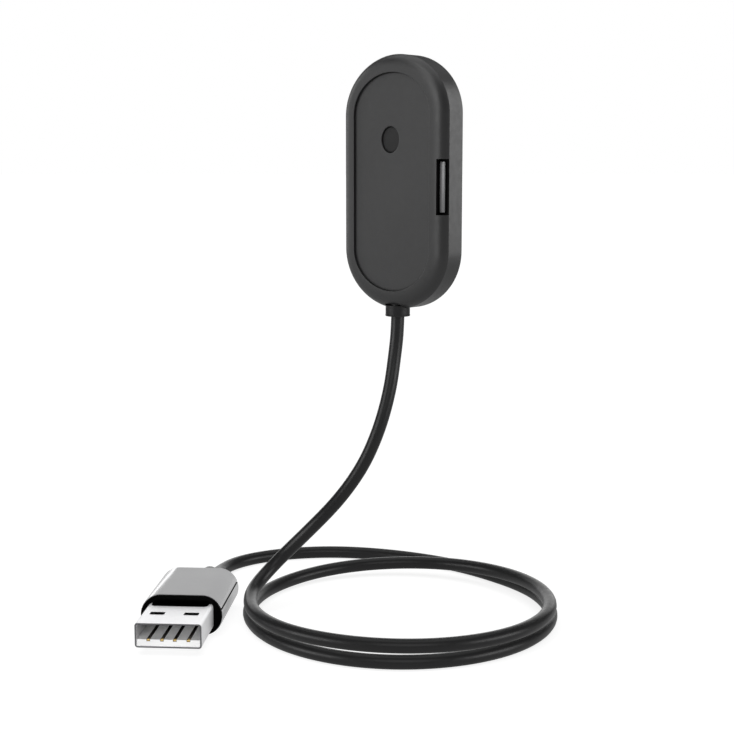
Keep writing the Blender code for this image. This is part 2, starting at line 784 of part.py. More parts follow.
def coil_points():
    """The two turns, read every few degrees from the stations round the coil's centre."""
    angles = np.arange(COIL_STATIONS[0][0], COIL_STATIONS[-1][0] + 1.0, COIL_STEP_DEG)
    points = []
    for angle, (radius, height) in zip(angles, spline_values(COIL_STATIONS, angles)):
        turn = math.radians(angle)
        x = COIL_CENTRE[0] + radius * MM * math.cos(turn)
        y = COIL_CENTRE[1] + radius * MM * math.sin(turn)
        points.append((x, y, FLOOR_Z + height * MM))
    return points


def plug_end_point():
    """Where the lead enters the plug's strain relief, and a point a little way out of it."""
    heading = math.radians(PLUG_HEADING_DEG)
    ends = []
    for along in (RELIEF_END + 4.0 * MM, RELIEF_END + GAP):
        x = PLUG_TIP[0] + along * math.cos(heading)
        y = PLUG_TIP[1] + along * math.sin(heading)
        ends.append((x, y, FLOOR_Z + CASING_HALF_HEIGHT))
    return ends


def build_lead():
    drop = [tuple(value * MM for value in point) for point in DROP_MM]
    tail = [(x * MM, y * MM, FLOOR_Z + z * MM) for x, y, z in TAIL_MM]
    route = smooth_route(drop + coil_points() + tail + plug_end_point(), 80)
    tube("lead_cable", [tuple(point) for point in route], CORD_RADIUS, CORD_BLACK)


# --- USB plug: its own frame has +Y from the tip to the lead, +Z up and its axis at z = 0 -----


def plug_frame():
    empty = bpy.data.objects.new("plug_frame", None)
    PARTS.objects.link(empty)
    empty.location = (PLUG_TIP[0], PLUG_TIP[1], FLOOR_Z + CASING_HALF_HEIGHT)
    empty.rotation_euler = (0.0, 0.0, math.radians(PLUG_HEADING_DEG - 90.0))
    return empty


def build_plug_shell(frame):
    width = SHELL_HALF_WIDTH
    height = SHELL_HALF_HEIGHT
    wall = SHELL_WALL
    rings = [
        rounded_ring(width, height, 0.6 * MM, 0.0, 3),
        rounded_ring(width, height, 0.6 * MM, SHELL_LENGTH, 3),
        rounded_ring(width - wall, height - wall, 0.3 * MM, SHELL_LENGTH, 3),
        rounded_ring(width - wall, height - wall, 0.3 * MM, 0.0, 3),
    ]
    shell = loft("plug_shell", rings, STEEL, closed=True)
    shell.parent = frame
    for i, x in enumerate((-3.1 * MM, 3.1 * MM)):
        low = (x - 1.35 * MM, 5.0 * MM, -height - MM)
        high = (x + 1.35 * MM, 6.6 * MM, height + MM)
        window = box(f"shell_window_{i}", low, high, cutter=True)
        window.parent = frame
        cut(shell, window)


def build_plug_tongue(frame):
    """The tongue, with a groove for each contact that is open at the front."""
    top = TONGUE_TOP
    bottom = SHELL_WALL + GAP - SHELL_HALF_HEIGHT
    half_width = SHELL_HALF_WIDTH - SHELL_WALL - GAP
    low = (-half_width, TONGUE_START, bottom)
    tongue = box("plug_tongue", low, (half_width, SHELL_LENGTH, top), TONGUE_WHITE)
    tongue.parent = frame
    half = CONTACT_HALF_WIDTH
    for i, x in enumerate(CONTACT_X):
        low = (x - half - GAP, 0.0, top - 0.5 * MM)
        high = (x + half + GAP, SHELL_LENGTH - MM, top + MM)
        groove = box(f"contact_groove_{i}", low, high, cutter=True)
        groove.parent = frame
        cut(tongue, groove)
        low = (x - half, TONGUE_START, top - 0.2 * MM)
        high = (x + half, SHELL_LENGTH - 1.3 * MM, top)
        contact = box(f"plug_contact_{i + 1}", low, high, GOLD)
        contact.parent = frame


def build_plug_core(frame):
    """The moulded block that holds the shell. Its flange closes the casing's front."""
    flange = 0.15 * MM
    inner = CASING_WALL + GAP
    wide = CASING_HALF_WIDTH - flange
    tall = CASING_HALF_HEIGHT - flange
    slim_wide = CASING_HALF_WIDTH - inner
    slim_tall = CASING_HALF_HEIGHT - inner
    flange_end = CASING_START - GAP
    rings = [
        rounded_ring(wide, tall, tall, SHELL_VISIBLE, 8),
        rounded_ring(wide, tall, tall, flange_end, 8),
        rounded_ring(slim_wide, slim_tall, slim_tall, flange_end, 8),
        rounded_ring(slim_wide, slim_tall, slim_tall, CASING_END - 1.6 * MM, 8),
    ]
    core = loft("plug_core", rings, CORE_BLACK)
    core.parent = frame
    half_width = SHELL_HALF_WIDTH + GAP
    half_height = SHELL_HALF_HEIGHT + GAP
    low = (-half_width, SHELL_VISIBLE - MM, -half_height)
    high = (half_width, SHELL_LENGTH + GAP, half_height)
    socket = box("shell_socket", low, high, cutter=True)
    socket.parent = frame
    cut(core, socket)


def casing_blank(name):
    """A pill-section cup, open at the front, with a hole for the strain relief at the back."""
    wide = CASING_HALF_WIDTH
    tall = CASING_HALF_HEIGHT
    wall = CASING_WALL
    rear_wall = 0.6 * MM
    rings = [
        rounded_ring(wide - wall, tall - wall, tall - wall, CASING_END - rear_wall, 8),
        rounded_ring(wide - wall, tall - wall, tall - wall, CASING_START, 8),
        rounded_ring(wide, tall, tall, CASING_START, 8),
        rounded_ring(wide, tall, tall, CASING_END - 0.2 * MM, 8),
        rounded_ring(wide - 0.2 * MM, tall - 0.2 * MM, tall - 0.2 * MM, CASING_END, 8),
    ]
    return loft(name, rings, CASING_METAL)


def build_plug_casing(frame):
    """Two covers that meet along a line a little above the plug's middle."""
    reach = 10 * MM
    half_gap = GAP / 2
    start = CASING_START - MM
    end = CASING_END + MM
    sides = {
        "plug_cover_upper": (-reach, CASING_SPLIT_Z + half_gap),
        "plug_cover_lower": (CASING_SPLIT_Z - half_gap, reach),
    }
    hole = peg("relief_hole", 2.6 * MM, (0, CASING_END - 3 * MM, 0), (0, end, 0), steps=24)
    hole.parent = frame
    for name, (low_z, high_z) in sides.items():
        cover = casing_blank(name)
        cover.parent = frame
        cut(cover, hole)
        low = (-reach, start, low_z)
        removed = box(f"{name}_cutter", low, (reach, end, high_z), cutter=True)
        removed.parent = frame
        cut(cover, removed)


def build_plug_relief(frame):
    neck = 2.2 * MM
    flange = 2.9 * MM
    start = CASING_END - 1.3 * MM
    length = RELIEF_END - start
    edge = 0.5 * MM
    inner_flange = 0.4 * MM
    body_start = CASING_END + GAP - start
    profile = [
        (0.0, length),
        (RELIEF_RADIUS - edge, length),
        (RELIEF_RADIUS, length - edge),
        (RELIEF_RADIUS, body_start),
        (neck, body_start),
        (neck, inner_flange),
        (flange, inner_flange),
        (flange, 0.0),
        (0.0, 0.0),
    ]
    place = (0.0, start, 0.0)
    relief = turned("plug_strain_relief", profile, place, (0, 1, 0), RELIEF_GREY, steps=24)
    relief.parent = frame


def build_plug():
    frame = plug_frame()
    build_plug_shell(frame)
    build_plug_tongue(frame)
    build_plug_core(frame)
    build_plug_casing(frame)
    build_plug_relief(frame)


def main():
    build_housing()
    build_front_panel()
    build_rear_cover()
    build_cover_screws()
    build_reset_button()
    build_reset_switch()
    build_release_latch()
    build_latch_spring()
    for side in (-1, 1):
        build_pogo(side)
    build_board()
    build_board_parts()
    build_magnets()
    build_wires()
    build_collar()
    build_lead()
    build_plug()


main()
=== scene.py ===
import json
import math

import bmesh
import bpy
import numpy as np
from mathutils import Matrix, Vector


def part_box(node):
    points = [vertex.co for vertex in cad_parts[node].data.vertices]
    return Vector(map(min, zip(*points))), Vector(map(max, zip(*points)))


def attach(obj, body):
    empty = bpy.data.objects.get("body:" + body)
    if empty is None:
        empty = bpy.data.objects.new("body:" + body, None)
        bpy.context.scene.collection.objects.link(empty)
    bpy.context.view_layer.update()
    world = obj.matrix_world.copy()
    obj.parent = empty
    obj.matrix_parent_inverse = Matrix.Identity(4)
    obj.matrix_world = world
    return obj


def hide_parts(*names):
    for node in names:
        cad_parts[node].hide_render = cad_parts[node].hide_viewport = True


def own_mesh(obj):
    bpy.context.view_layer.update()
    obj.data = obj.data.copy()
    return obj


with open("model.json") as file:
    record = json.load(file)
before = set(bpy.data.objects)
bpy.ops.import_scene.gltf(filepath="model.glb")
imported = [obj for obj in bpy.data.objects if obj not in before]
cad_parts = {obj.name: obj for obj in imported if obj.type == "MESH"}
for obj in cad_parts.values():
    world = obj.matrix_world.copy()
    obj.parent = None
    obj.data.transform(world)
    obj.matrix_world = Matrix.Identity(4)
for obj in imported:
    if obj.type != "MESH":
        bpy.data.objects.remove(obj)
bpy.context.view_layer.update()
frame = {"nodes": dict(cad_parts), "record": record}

# Looks for a fitness tracker's charging lead: a pill-shaped dock, its thin lead and a USB-A plug.
# Lengths are in metres. The dock's panel faces -Y, its latch is on +X and the tracker side is +Y.

MM = 0.001

# Places and sizes that the frame gives.
HOUSING_LOW, HOUSING_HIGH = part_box("dock_housing")
PANEL_LOW, PANEL_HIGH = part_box("front_panel")
COVER_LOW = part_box("rear_cover")[0]
COLLAR_LOW, COLLAR_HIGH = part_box("cable_collar")
BUTTON_LOW, BUTTON_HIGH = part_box("reset_button")
LATCH_LOW, LATCH_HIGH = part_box("release_latch")
FLOOR_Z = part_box("plug_cover_lower")[0].z  # the plug's casing lies on the floor

SHARP_DEG = 35.0  # edges that turn by more than this shade as edges
ARC_STEPS = 8  # in each rounded corner of a profile

# The dock's outline: straight sides and elliptical ends.
HALF_WIDTH = HOUSING_HIGH.x
CAP_HEIGHT = 11.4 * MM
STRAIGHT_HALF = HOUSING_HIGH.z - CAP_HEIGHT
CAP_SEGMENTS = 64

# Depths of the dock along Y.
RIM_Y = HOUSING_LOW.y
BACK_Y = HOUSING_HIGH.y
PANEL_Y = PANEL_LOW.y
LEDGE_Y = PANEL_HIGH.y + 0.3 * MM  # the panel rests on it
CAVITY_FRONT_Y = LEDGE_Y + 0.6 * MM
COVER_SEAT_Y = COVER_LOW.y - 0.3 * MM

# The shoulder from the rim beside the panel back to the crease: a Bezier arc with two handles.
SHOULDER_DEPTH = 1.85 * MM
SHOULDER_WIDTH = 3.45 * MM
SHOULDER_CROWN = 2.2 * MM  # the handle at the rim
SHOULDER_SIDE = 1.25 * MM  # the handle at the crease
SHOULDER_STEPS = 28
CREASE_ANGLE_DEG = 70.0
CREASE_SHARP_DEG = 17.0  # less than the crease's own angle, so that it shades as an edge
CREASE_Y = RIM_Y + SHOULDER_DEPTH

# Openings in the dock.
COVER_INSET = 1.4 * MM  # from the outline to the opening that the rear cover fills
POCKET_INSET = 4.5 * MM  # from the outline to the tracker's pocket
HOLE_HALF_WIDTH = 2.23 * MM  # the button's hole
HOLE_HALF_HEIGHT = 2.53 * MM
BUTTON_GAP = 0.07 * MM
SLOT_INNER_X = 11.15 * MM  # the inner side of the latch's slot
SLOT_POCKET_X = (10.0 * MM, 11.6 * MM)  # the dark space that the slot opens into
SLOT_END_GAP = 0.5 * MM
LATCH_CROWN_DEG = 35.0
SEAM = 0.04 * MM  # the hairline between two pieces that meet

# The lead's exit and thickness, the coil and the plug, as in the CAD.
CORD_RADIUS = 1.3 * MM
COLLAR_Y = (COLLAR_LOW.y + COLLAR_HIGH.y) / 2
COIL_CENTRE = (7.45 * MM, -10.3 * MM)
COIL_STEP_DEG = 15.0
PLUG_TIP = (-8.36 * MM, -55.18 * MM)
PLUG_HEADING_DEG = 128.0
PLUG_AXIS_HEIGHT = 3.85 * MM
CASING_HALF_WIDTH = 7.7 * MM
CASING_HALF_HEIGHT = 3.85 * MM
SHELL_HALF_WIDTH = 6.0 * MM
SHELL_HALF_HEIGHT = 2.25 * MM
SHELL_WALL = 0.3 * MM
SHELL_LENGTH = 14.7 * MM
SHELL_VISIBLE = 11.75 * MM
CASING_START = 12.2 * MM
CASING_END = 30.5 * MM
CASING_SPLIT_Z = 1.25 * MM
RELIEF_RADIUS = 2.7 * MM
RELIEF_END = 36.0 * MM
CONTACT_X = (-3.6 * MM, -1.15 * MM, 1.15 * MM, 3.6 * MM)
CONTACT_START = 0.24 * MM
TONGUE_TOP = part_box("plug_tongue")[1].z - FLOOR_Z - PLUG_AXIS_HEIGHT  # above the plug's axis

# The studio.
FLOOR_BOUNCE = 0.35  # how bright the floor is to the object above it
FLOOR_SEEN = 0.84  # how brightly it glows to the camera
LIGHTS_TURN_DEG = 42.0  # the lights are placed about this heading, as the camera is
LIGHTS_AIM = Vector((0.0, 0.0, -0.04))

# The lead's route, as in the CAD: the drop from the dock to the coil.
DROP = [
    (0.0, -0.003, -0.026),
    (0.0, -0.00325, -0.0295),
    (0.0, -0.004, -0.034),
    (0.0002, -0.0052, -0.0385),
    (0.0001, -0.0064, -0.0425),
    (-0.0003, -0.00755, -0.0462),
    (-0.0011, -0.00875, -0.05),
    (-0.00235, -0.01015, -0.054),
    (-0.0041, -0.0118, -0.0579),
    (-0.0063, -0.014, -0.0619),
    (-0.009, -0.0166, -0.0659),
    (-0.0123, -0.0185, -0.0698),
    (-0.0154, -0.02115, -0.0739),
    (-0.0161, -0.024, -0.0762),
    (-0.01535, -0.02745, -0.07785),
]

# The coil's stations: angle in degrees round its centre, radius, and height above the floor.
COIL_STATIONS = [
    (228.0, 0.029, 0.0042),
    (243.0, 0.02915, 0.00405),
    (285.0, 0.0287, 0.00405),
    (365.0, 0.029, 0.00405),
    (400.0, 0.0281, 0.00405),
    (425.0, 0.0274, 0.00395),
    (445.0, 0.0275, 0.0036),
    (465.0, 0.0281, 0.0032),
    (495.0, 0.0289, 0.0026),
    (525.0, 0.0296, 0.00195),
    (550.0, 0.0298, 0.0014),
    (575.0, 0.0294, 0.0013),
    (600.0, 0.0289, 0.0013),
    (660.0, 0.02905, 0.0013),
    (735.0, 0.0284, 0.0013),
    (765.0, 0.0287, 0.0013),
    (795.0, 0.0297, 0.0013),
    (812.0, 0.0309, 0.0013),
    (828.0, 0.0334, 0.0013),
    (843.0, 0.0366, 0.0013),
    (858.0, 0.0408, 0.0013),
]

# From the coil back to the plug: x, y and height above the floor.
TAIL = [
    (-0.0315, 0.0116, 0.0013),
    (-0.0352, 0.0077, 0.0013),
    (-0.0381, 0.0033, 0.0013),
    (-0.0401, -0.0016, 0.0013),
    (-0.0409, -0.0066, 0.0013),
    (-0.0403, -0.0114, 0.0013),
    (-0.0384, -0.0158, 0.0014),
    (-0.0356, -0.02, 0.0023),
]


# --- Camera ---------------------------------------------------------------------------------


def make_camera():
    data = bpy.data.cameras.new("camera")
    data.lens = 69.37
    data.sensor_width = 36.0
    data.clip_start = 0.01
    data.clip_end = 50.0
    camera = bpy.data.objects.new("camera", data)
    camera.location = (0.17905, -0.21066, 0.00204)
    camera.rotation_euler = (math.radians(82.15), 0.0, math.radians(42.02))
    bpy.context.scene.collection.objects.link(camera)
    bpy.context.scene.camera = camera


# --- Materials ------------------------------------------------------------------------------


class Nodes:
    """A small helper round one material's node tree."""

    def __init__(self, name):
        self.material = bpy.data.materials.new(name)
        self.material.use_nodes = True
        self.tree = self.material.node_tree
        self.shader = self.tree.nodes["Principled BSDF"]
        self.place = self.tree.nodes.new("ShaderNodeTexCoord").outputs["Object"]

    def add(self, kind, **values):
        node = self.tree.nodes.new(kind)
        for key, value in values.items():
            setattr(node, key, value)
        return node

    def link(self, output, socket):
        self.tree.links.new(output, socket)

    def noise(self, scale, detail=3.0, roughness=0.5):
        """Noise of this many cells a metre."""
        node = self.add("ShaderNodeTexNoise")
        node.inputs["Scale"].default_value = scale
        node.inputs["Detail"].default_value = detail
        node.inputs["Roughness"].default_value = roughness
        self.link(self.place, node.inputs["Vector"])
        return node.outputs["Fac"]

    def spread(self, value, low, high):
        """Noise, which is mostly between 0.3 and 0.7, mapped to low to high."""
        node = self.add("ShaderNodeMapRange")
        node.inputs["From Min"].default_value = 0.3
        node.inputs["From Max"].default_value = 0.7
        node.inputs["To Min"].default_value = low
        node.inputs["To Max"].default_value = high
        self.link(value, node.inputs["Value"])
        return node.outputs["Result"]

    def tint(self, value, first, second):
        """A colour between these two."""
        node = self.add("ShaderNodeMix", data_type="RGBA")
        node.inputs["A"].default_value = (*first, 1.0)
        node.inputs["B"].default_value = (*second, 1.0)
        self.link(value, node.inputs["Factor"])
        return node.outputs["Result"]

    def bump(self, value, distance):
        node = self.add("ShaderNodeBump")
        node.inputs["Distance"].default_value = distance
        self.link(value, node.inputs["Height"])
        return node.outputs["Normal"]


def moulded_plastic(name, color, roughness, grain=9000.0, depth=0.004 * MM, specular=0.5):
    """Moulded plastic: fine spark-eroded grain, and faint unevenness in colour and sheen."""
    n = Nodes(name)
    cloud = n.noise(60.0, 4.0)
    darker = tuple(value * 0.9 for value in color)
    lighter = tuple(value * 1.1 for value in color)
    n.link(n.tint(n.spread(cloud, 0.0, 1.0), darker, lighter), n.shader.inputs["Base Color"])
    sheen = n.spread(n.noise(900.0, 5.0), roughness - 0.04, roughness + 0.04)
    n.link(sheen, n.shader.inputs["Roughness"])
    n.shader.inputs["Specular IOR Level"].default_value = specular
    n.link(n.bump(n.noise(grain, 2.0), depth), n.shader.inputs["Normal"])
    return n.material


def polished_metal(name, color, roughness, metallic=1.0, depth=0.0006 * MM):
    """Plated or anodised metal, with fine marks and soft smears."""
    n = Nodes(name)
    n.shader.inputs["Metallic"].default_value = metallic
    smear = n.noise(120.0, 5.0, 0.6)
    darker = tuple(value * 0.95 for value in color)
    n.link(n.tint(n.spread(smear, 0.0, 1.0), darker, color), n.shader.inputs["Base Color"])
    marks = n.noise(14000.0, 3.0, 0.6)
    n.link(n.spread(marks, roughness * 0.8, roughness * 1.25), n.shader.inputs["Roughness"])
    n.link(n.bump(marks, depth), n.shader.inputs["Normal"])
    return n.material


def contact_gold_and_shade():
    """Gold that is bright at the contacts' rounded front ends, with painted shade that makes them
    dark along their length.
    """
    n = Nodes("contact_gold_and_shade")
    n.shader.inputs["Metallic"].default_value = 1.0
    heading = math.radians(PLUG_HEADING_DEG)
    along = n.add("ShaderNodeVectorMath", operation="DOT_PRODUCT")
    along.inputs[1].default_value = (math.cos(heading), math.sin(heading), 0.0)
    n.link(n.place, along.inputs[0])
    tip = PLUG_TIP[0] * math.cos(heading) + PLUG_TIP[1] * math.sin(heading)
    # painted shade: a little behind the tip the colour ramps from gold to near black along the plug
    painted_shade_ramp = n.add("ShaderNodeMapRange")
    painted_shade_ramp.inputs["From Min"].default_value = tip + CONTACT_START + 0.3 * MM
    painted_shade_ramp.inputs["From Max"].default_value = tip + CONTACT_START + 0.8 * MM
    n.link(along.outputs["Value"], painted_shade_ramp.inputs["Value"])
    color = n.tint(painted_shade_ramp.outputs["Result"], (0.83, 0.6, 0.24), (0.02, 0.016, 0.01))
    n.link(color, n.shader.inputs["Base Color"])
    marks = n.noise(9000.0, 3.0, 0.6)
    n.link(n.spread(marks, 0.18, 0.3), n.shader.inputs["Roughness"])
    n.link(n.bump(marks, 0.0005 * MM), n.shader.inputs["Normal"])
    return n.material


def make_materials():
    return {
        "housing": moulded_plastic("housing", (0.022, 0.022, 0.0225), 0.4),
        # painted shade: near-black for the cut faces of the latch's slot and its pocket and of the
        # shell's windows, where they lie in shade
        "inside": moulded_plastic("painted_shade_black", (0.002, 0.002, 0.002), 0.7, specular=0.1),
        "panel": moulded_plastic("panel", (0.027, 0.027, 0.0275), 0.48),
        "collar": moulded_plastic("collar", (0.016, 0.016, 0.0165), 0.4, specular=0.2),
        "button": moulded_plastic("button", (0.012, 0.012, 0.0122), 0.55, specular=0.3),
        "latch": moulded_plastic("latch", (0.14, 0.14, 0.143), 0.35, specular=1.0),
        "cord": moulded_plastic("cord", (0.015, 0.015, 0.0154), 0.34, 12000.0, 0.002 * MM, 0.25),
        "casing": polished_metal("casing", (0.82, 0.82, 0.83), 0.2),
        "core": moulded_plastic("core", (0.002, 0.002, 0.002), 0.15, 3000.0, 0.0005 * MM, 0.02),
        # painted shade: near-black for the cut faces of the tongue's grooves and of the gap between
        # the casing's covers
        "groove": moulded_plastic("groove", (0.004, 0.004, 0.004), 0.6, specular=0.1),
        "usb_shell": polished_metal("usb_shell", (0.93, 0.93, 0.94), 0.4, 0.6),
        "usb_tongue": moulded_plastic("usb_tongue", (0.86, 0.86, 0.86), 0.4),
        "shell_edge": polished_metal("shell_edge", (0.22, 0.22, 0.23), 0.4),
        "relief": moulded_plastic("relief", (0.5, 0.5, 0.505), 0.4),
        "gold": polished_metal("gold", (0.83, 0.6, 0.24), 0.2),
        "contact": contact_gold_and_shade(),
        "spring_steel": polished_metal("spring_steel", (0.6, 0.6, 0.61), 0.25),
        "screw": polished_metal("screw", (0.45, 0.45, 0.46), 0.3),
        "board": moulded_plastic("board", (0.02, 0.16, 0.07), 0.35),
        "chip": moulded_plastic("chip", (0.015, 0.015, 0.015), 0.45),
        "plunger": polished_metal("plunger", (0.5, 0.5, 0.5), 0.3),
        "ceramic": moulded_plastic("ceramic", (0.45, 0.32, 0.2), 0.5),
        "magnet": polished_metal("magnet", (0.6, 0.6, 0.6), 0.2),
        "wire_red": moulded_plastic("wire_red", (0.5, 0.03, 0.03), 0.4),
        "wire_black": moulded_plastic("wire_black", (0.02, 0.02, 0.02), 0.4),
    }


# --- Mesh helpers ---------------------------------------------------------------------------


def finish_mesh(bm, name, sharp_deg=SHARP_DEG):
    bmesh.ops.remove_doubles(bm, verts=bm.verts, dist=0.0005 * MM)
    bmesh.ops.recalc_face_normals(bm, faces=bm.faces)
    mesh = bpy.data.meshes.new(name)
    bm.to_mesh(mesh)
    bm.free()
    mesh.shade_smooth()
    mesh.set_sharp_from_angle(angle=math.radians(sharp_deg))
    return mesh


def new_object(name, mesh, material):
    obj = bpy.data.objects.new(name, mesh)
    bpy.context.scene.collection.objects.link(obj)
    mesh.materials.clear()
    mesh.materials.append(material)
    return obj


def loft(name, rings, material, closed=False, sharp_deg=SHARP_DEG):
    """A solid through rings of points, capped at both ends or joined end to start."""
    bm = bmesh.new()
    loops = [[bm.verts.new(point) for point in ring] for ring in rings]
    pairs = list(zip(loops, loops[1:]))
    if closed:
        pairs.append((loops[-1], loops[0]))
    else:
        bm.faces.new(loops[0])
        bm.faces.new(loops[-1])
    for first, second in pairs:
        for i in range(len(first)):
            bm.faces.new((first[i - 1], first[i], second[i], second[i - 1]))
    return new_object(name, finish_mesh(bm, name, sharp_deg), material)


def turned(name, profile, material, place=(0, 0, 0), direction=(0, 0, 1), steps=48):
    """A turned solid from (radius, height) down its outer side, its height along direction."""
    rings = []
    for radius, height in profile:
        ring = []
        for i in range(steps):
            turn = 2 * math.pi * i / steps
            ring.append((radius * math.cos(turn), radius * math.sin(turn), height))
        rings.append(ring)
    obj = loft(name, rings, material)
    turn = Vector((0, 0, 1)).rotation_difference(Vector(direction)).to_matrix().to_4x4()
    obj.data.transform(Matrix.Translation(Vector(place)) @ turn)
    return obj


def rounded_profile(corners, closed=False):
    """Points along a profile of (u, v, radius) corners, with an arc at each that has a radius."""
    points = []
    count = len(corners)
    for i, (u, v, radius) in enumerate(corners):
        here = np.array((u, v))
        if radius <= 0 or (not closed and i in (0, count - 1)):
            points.append((u, v))
            continue
        before = np.array(corners[i - 1][:2]) - here
        after = np.array(corners[(i + 1) % count][:2]) - here
        before /= np.linalg.norm(before)
        after /= np.linalg.norm(after)
        half = math.acos(np.clip(before @ after, -1, 1)) / 2
        reach = radius / math.tan(half)
        middle = before + after
        centre = here + middle / np.linalg.norm(middle) * radius / math.sin(half)
        start = here + before * reach - centre
        end = here + after * reach - centre
        sweep = math.pi - 2 * half
        for k in range(ARC_STEPS + 1):
            share = k / ARC_STEPS
            spoke = start * math.sin((1 - share) * sweep) + end * math.sin(share * sweep)
            spoke = spoke / math.sin(sweep)
            points.append(tuple(centre + spoke))
    return points


def pill_ring(inset, y):
    """The dock's outline at depth y, moved in by inset."""
    half_width = HALF_WIDTH - inset
    cap = CAP_HEIGHT - inset
    ring = []
    for side in (1, -1):
        for i in range(CAP_SEGMENTS + 1):
            turn = math.pi * i / CAP_SEGMENTS
            x = side * half_width * math.cos(turn)
            z = side * (STRAIGHT_HALF + cap * math.sin(turn))
            ring.append((x, y, z))
    return ring


def oval_ring(half_width, half_height, y):
    steps = 64
    turns = [2 * math.pi * i / steps for i in range(steps)]
    return [(half_width * math.cos(a), y, half_height * math.sin(a)) for a in turns]


def rounded_ring(half_width, half_height, radius, y, segments=10):
    """A rectangle with rounded corners in the XZ plane at depth y."""
    ring = []
    for corner in range(4):
        x_side = 1 if corner in (0, 3) else -1
        z_side = 1 if corner in (0, 1) else -1
        for i in range(segments + 1):
            turn = math.pi / 2 * (corner + i / segments)
            x = x_side * (half_width - radius) + radius * math.cos(turn)
            z = z_side * (half_height - radius) + radius * math.sin(turn)
            ring.append((x, y, z))
    return ring


def box_mesh(name, low, high, material, bevel=0.0):
    """A box between two corners, with rounded edges where bevel says so."""
    low = Vector(low)
    high = Vector(high)
    bm = bmesh.new()
    bmesh.ops.create_cube(bm, size=1.0)
    bmesh.ops.scale(bm, vec=high - low, verts=bm.verts)
    bmesh.ops.translate(bm, vec=(low + high) / 2, verts=bm.verts)
    if bevel:
        bmesh.ops.bevel(bm, geom=bm.edges, offset=bevel, segments=3, affect="EDGES", profile=0.5)
    return new_object(name, finish_mesh(bm, name), material)


def carve(obj, cutters, bevel=0.0, sharp_deg=SHARP_DEG):
    """Cuts the cutters out of obj for good. The new faces take the cutters' materials."""
    for cutter in cutters:
        modifier = obj.modifiers.new("cut", "BOOLEAN")
        modifier.operation = "DIFFERENCE"
        modifier.solver = "EXACT"
        modifier.material_mode = "TRANSFER"
        modifier.object = cutter
    if bevel:
        edge = obj.modifiers.new("edge", "BEVEL")
        edge.width = bevel
        edge.segments = 2
        edge.limit_method = "ANGLE"
        edge.angle_limit = math.radians(50)
    graph = bpy.context.evaluated_depsgraph_get()
    mesh = bpy.data.meshes.new_from_object(obj.evaluated_get(graph))
    mesh.shade_smooth()
    mesh.set_sharp_from_angle(angle=math.radians(sharp_deg))
    obj.modifiers.clear()
    obj.data = mesh
    for cutter in cutters:
        bpy.data.objects.remove(cutter, do_unlink=True)
    return obj


def settle(obj, body, slot, *nodes):
    """The piece rides on body and stands for these CAD nodes, which are hidden; slot is not used."""
    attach(obj, body)
    if nodes:
        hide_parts(*nodes)
    return obj


# --- The lead -------------------------------------------------------------------------------


def spline_values(stations, wanted):
    """Natural cubic spline through stations of (t, value...), read at each wanted t."""
    stations = np.array(stations, float)
    t = stations[:, 0]
    values = stations[:, 1:]
    step = np.diff(t)
    slope = np.diff(values, axis=0) / step[:, None]
    matrix = np.eye(len(t))
    right = np.zeros_like(values)
    for i in range(1, len(t) - 1):
        matrix[i, i - 1 : i + 2] = (step[i - 1], 2 * (step[i - 1] + step[i]), step[i])
        right[i] = 6 * (slope[i] - slope[i - 1])
    bend = np.linalg.solve(matrix, right)
    wanted = np.asarray(wanted, float)
    i = np.clip(np.searchsorted(t, wanted) - 1, 0, len(step) - 1)
    ahead = (t[i + 1] - wanted)[:, None]
    behind = (wanted - t[i])[:, None]
    width = step[i][:, None]
    curved = (bend[i] * ahead**3 + bend[i + 1] * behind**3) / (6 * width)
    start = (values[i] / width - bend[i] * width / 6) * ahead
    end = (values[i + 1] / width - bend[i + 1] * width / 6) * behind
    return curved + start + end


def smooth_route(points, count):
    """Evenly spaced points along the smooth curve through these, and the curve's length."""
    points = np.array(points, float)
    chord = np.concatenate([[0.0], np.cumsum(np.linalg.norm(np.diff(points, axis=0), axis=1))])
    stations = np.column_stack([chord, points])
    fine = spline_values(stations, np.linspace(0.0, chord[-1], 4000))
    run = np.concatenate([[0.0], np.cumsum(np.linalg.norm(np.diff(fine, axis=0), axis=1))])
    even = np.linspace(0.0, run[-1], count)
    return np.column_stack([np.interp(even, run, fine[:, k]) for k in range(3)]), run[-1]


def coil_points():
    angles = np.arange(COIL_STATIONS[0][0], COIL_STATIONS[-1][0] + 1.0, COIL_STEP_DEG)
    points = []
    for angle, (radius, height) in zip(angles, spline_values(COIL_STATIONS, angles)):
        turn = math.radians(angle)
        x = COIL_CENTRE[0] + radius * math.cos(turn)
        y = COIL_CENTRE[1] + radius * math.sin(turn)
        points.append((x, y, FLOOR_Z + height))
    return points


def plug_end_points():
    """A point a little way out of the plug's strain relief, and where the lead enters it."""
    heading = math.radians(PLUG_HEADING_DEG)
    ends = []
    for along in (RELIEF_END + 4.0 * MM, RELIEF_END + 0.3 * MM):
        x = PLUG_TIP[0] + along * math.cos(heading)
        y = PLUG_TIP[1] + along * math.sin(heading)
        ends.append((x, y, FLOOR_Z + PLUG_AXIS_HEIGHT))
    return ends


def make_lead(material):
    tail = [(x, y, FLOOR_Z + z) for x, y, z in TAIL]
    route, length = smooth_route(DROP + coil_points() + tail + plug_end_points(), 420)
    inside = route[0] + (0.0, 0.0, 0.5 * MM)
    route = [inside, *route]
    curve = bpy.data.curves.new("cable_jacket", "CURVE")
    curve.dimensions = "3D"
    curve.bevel_depth = CORD_RADIUS
    curve.bevel_resolution = 8
    curve.use_fill_caps = True
    spline = curve.splines.new("POLY")
    spline.points.add(len(route) - 1)
    for point, place in zip(spline.points, route):
        point.co = (*place, 1.0)
    spline.use_smooth = True
    cable = bpy.data.objects.new("cable_jacket", curve)
    bpy.context.scene.collection.objects.link(cable)
    curve.materials.append(material)
    cable.visible_glossy = False  # or the plug's casing mirrors the coil as a dark patch
    return settle(cable, "dock", "cord", "lead_cable"), float(length)


# --- The dock -------------------------------------------------------------------------------


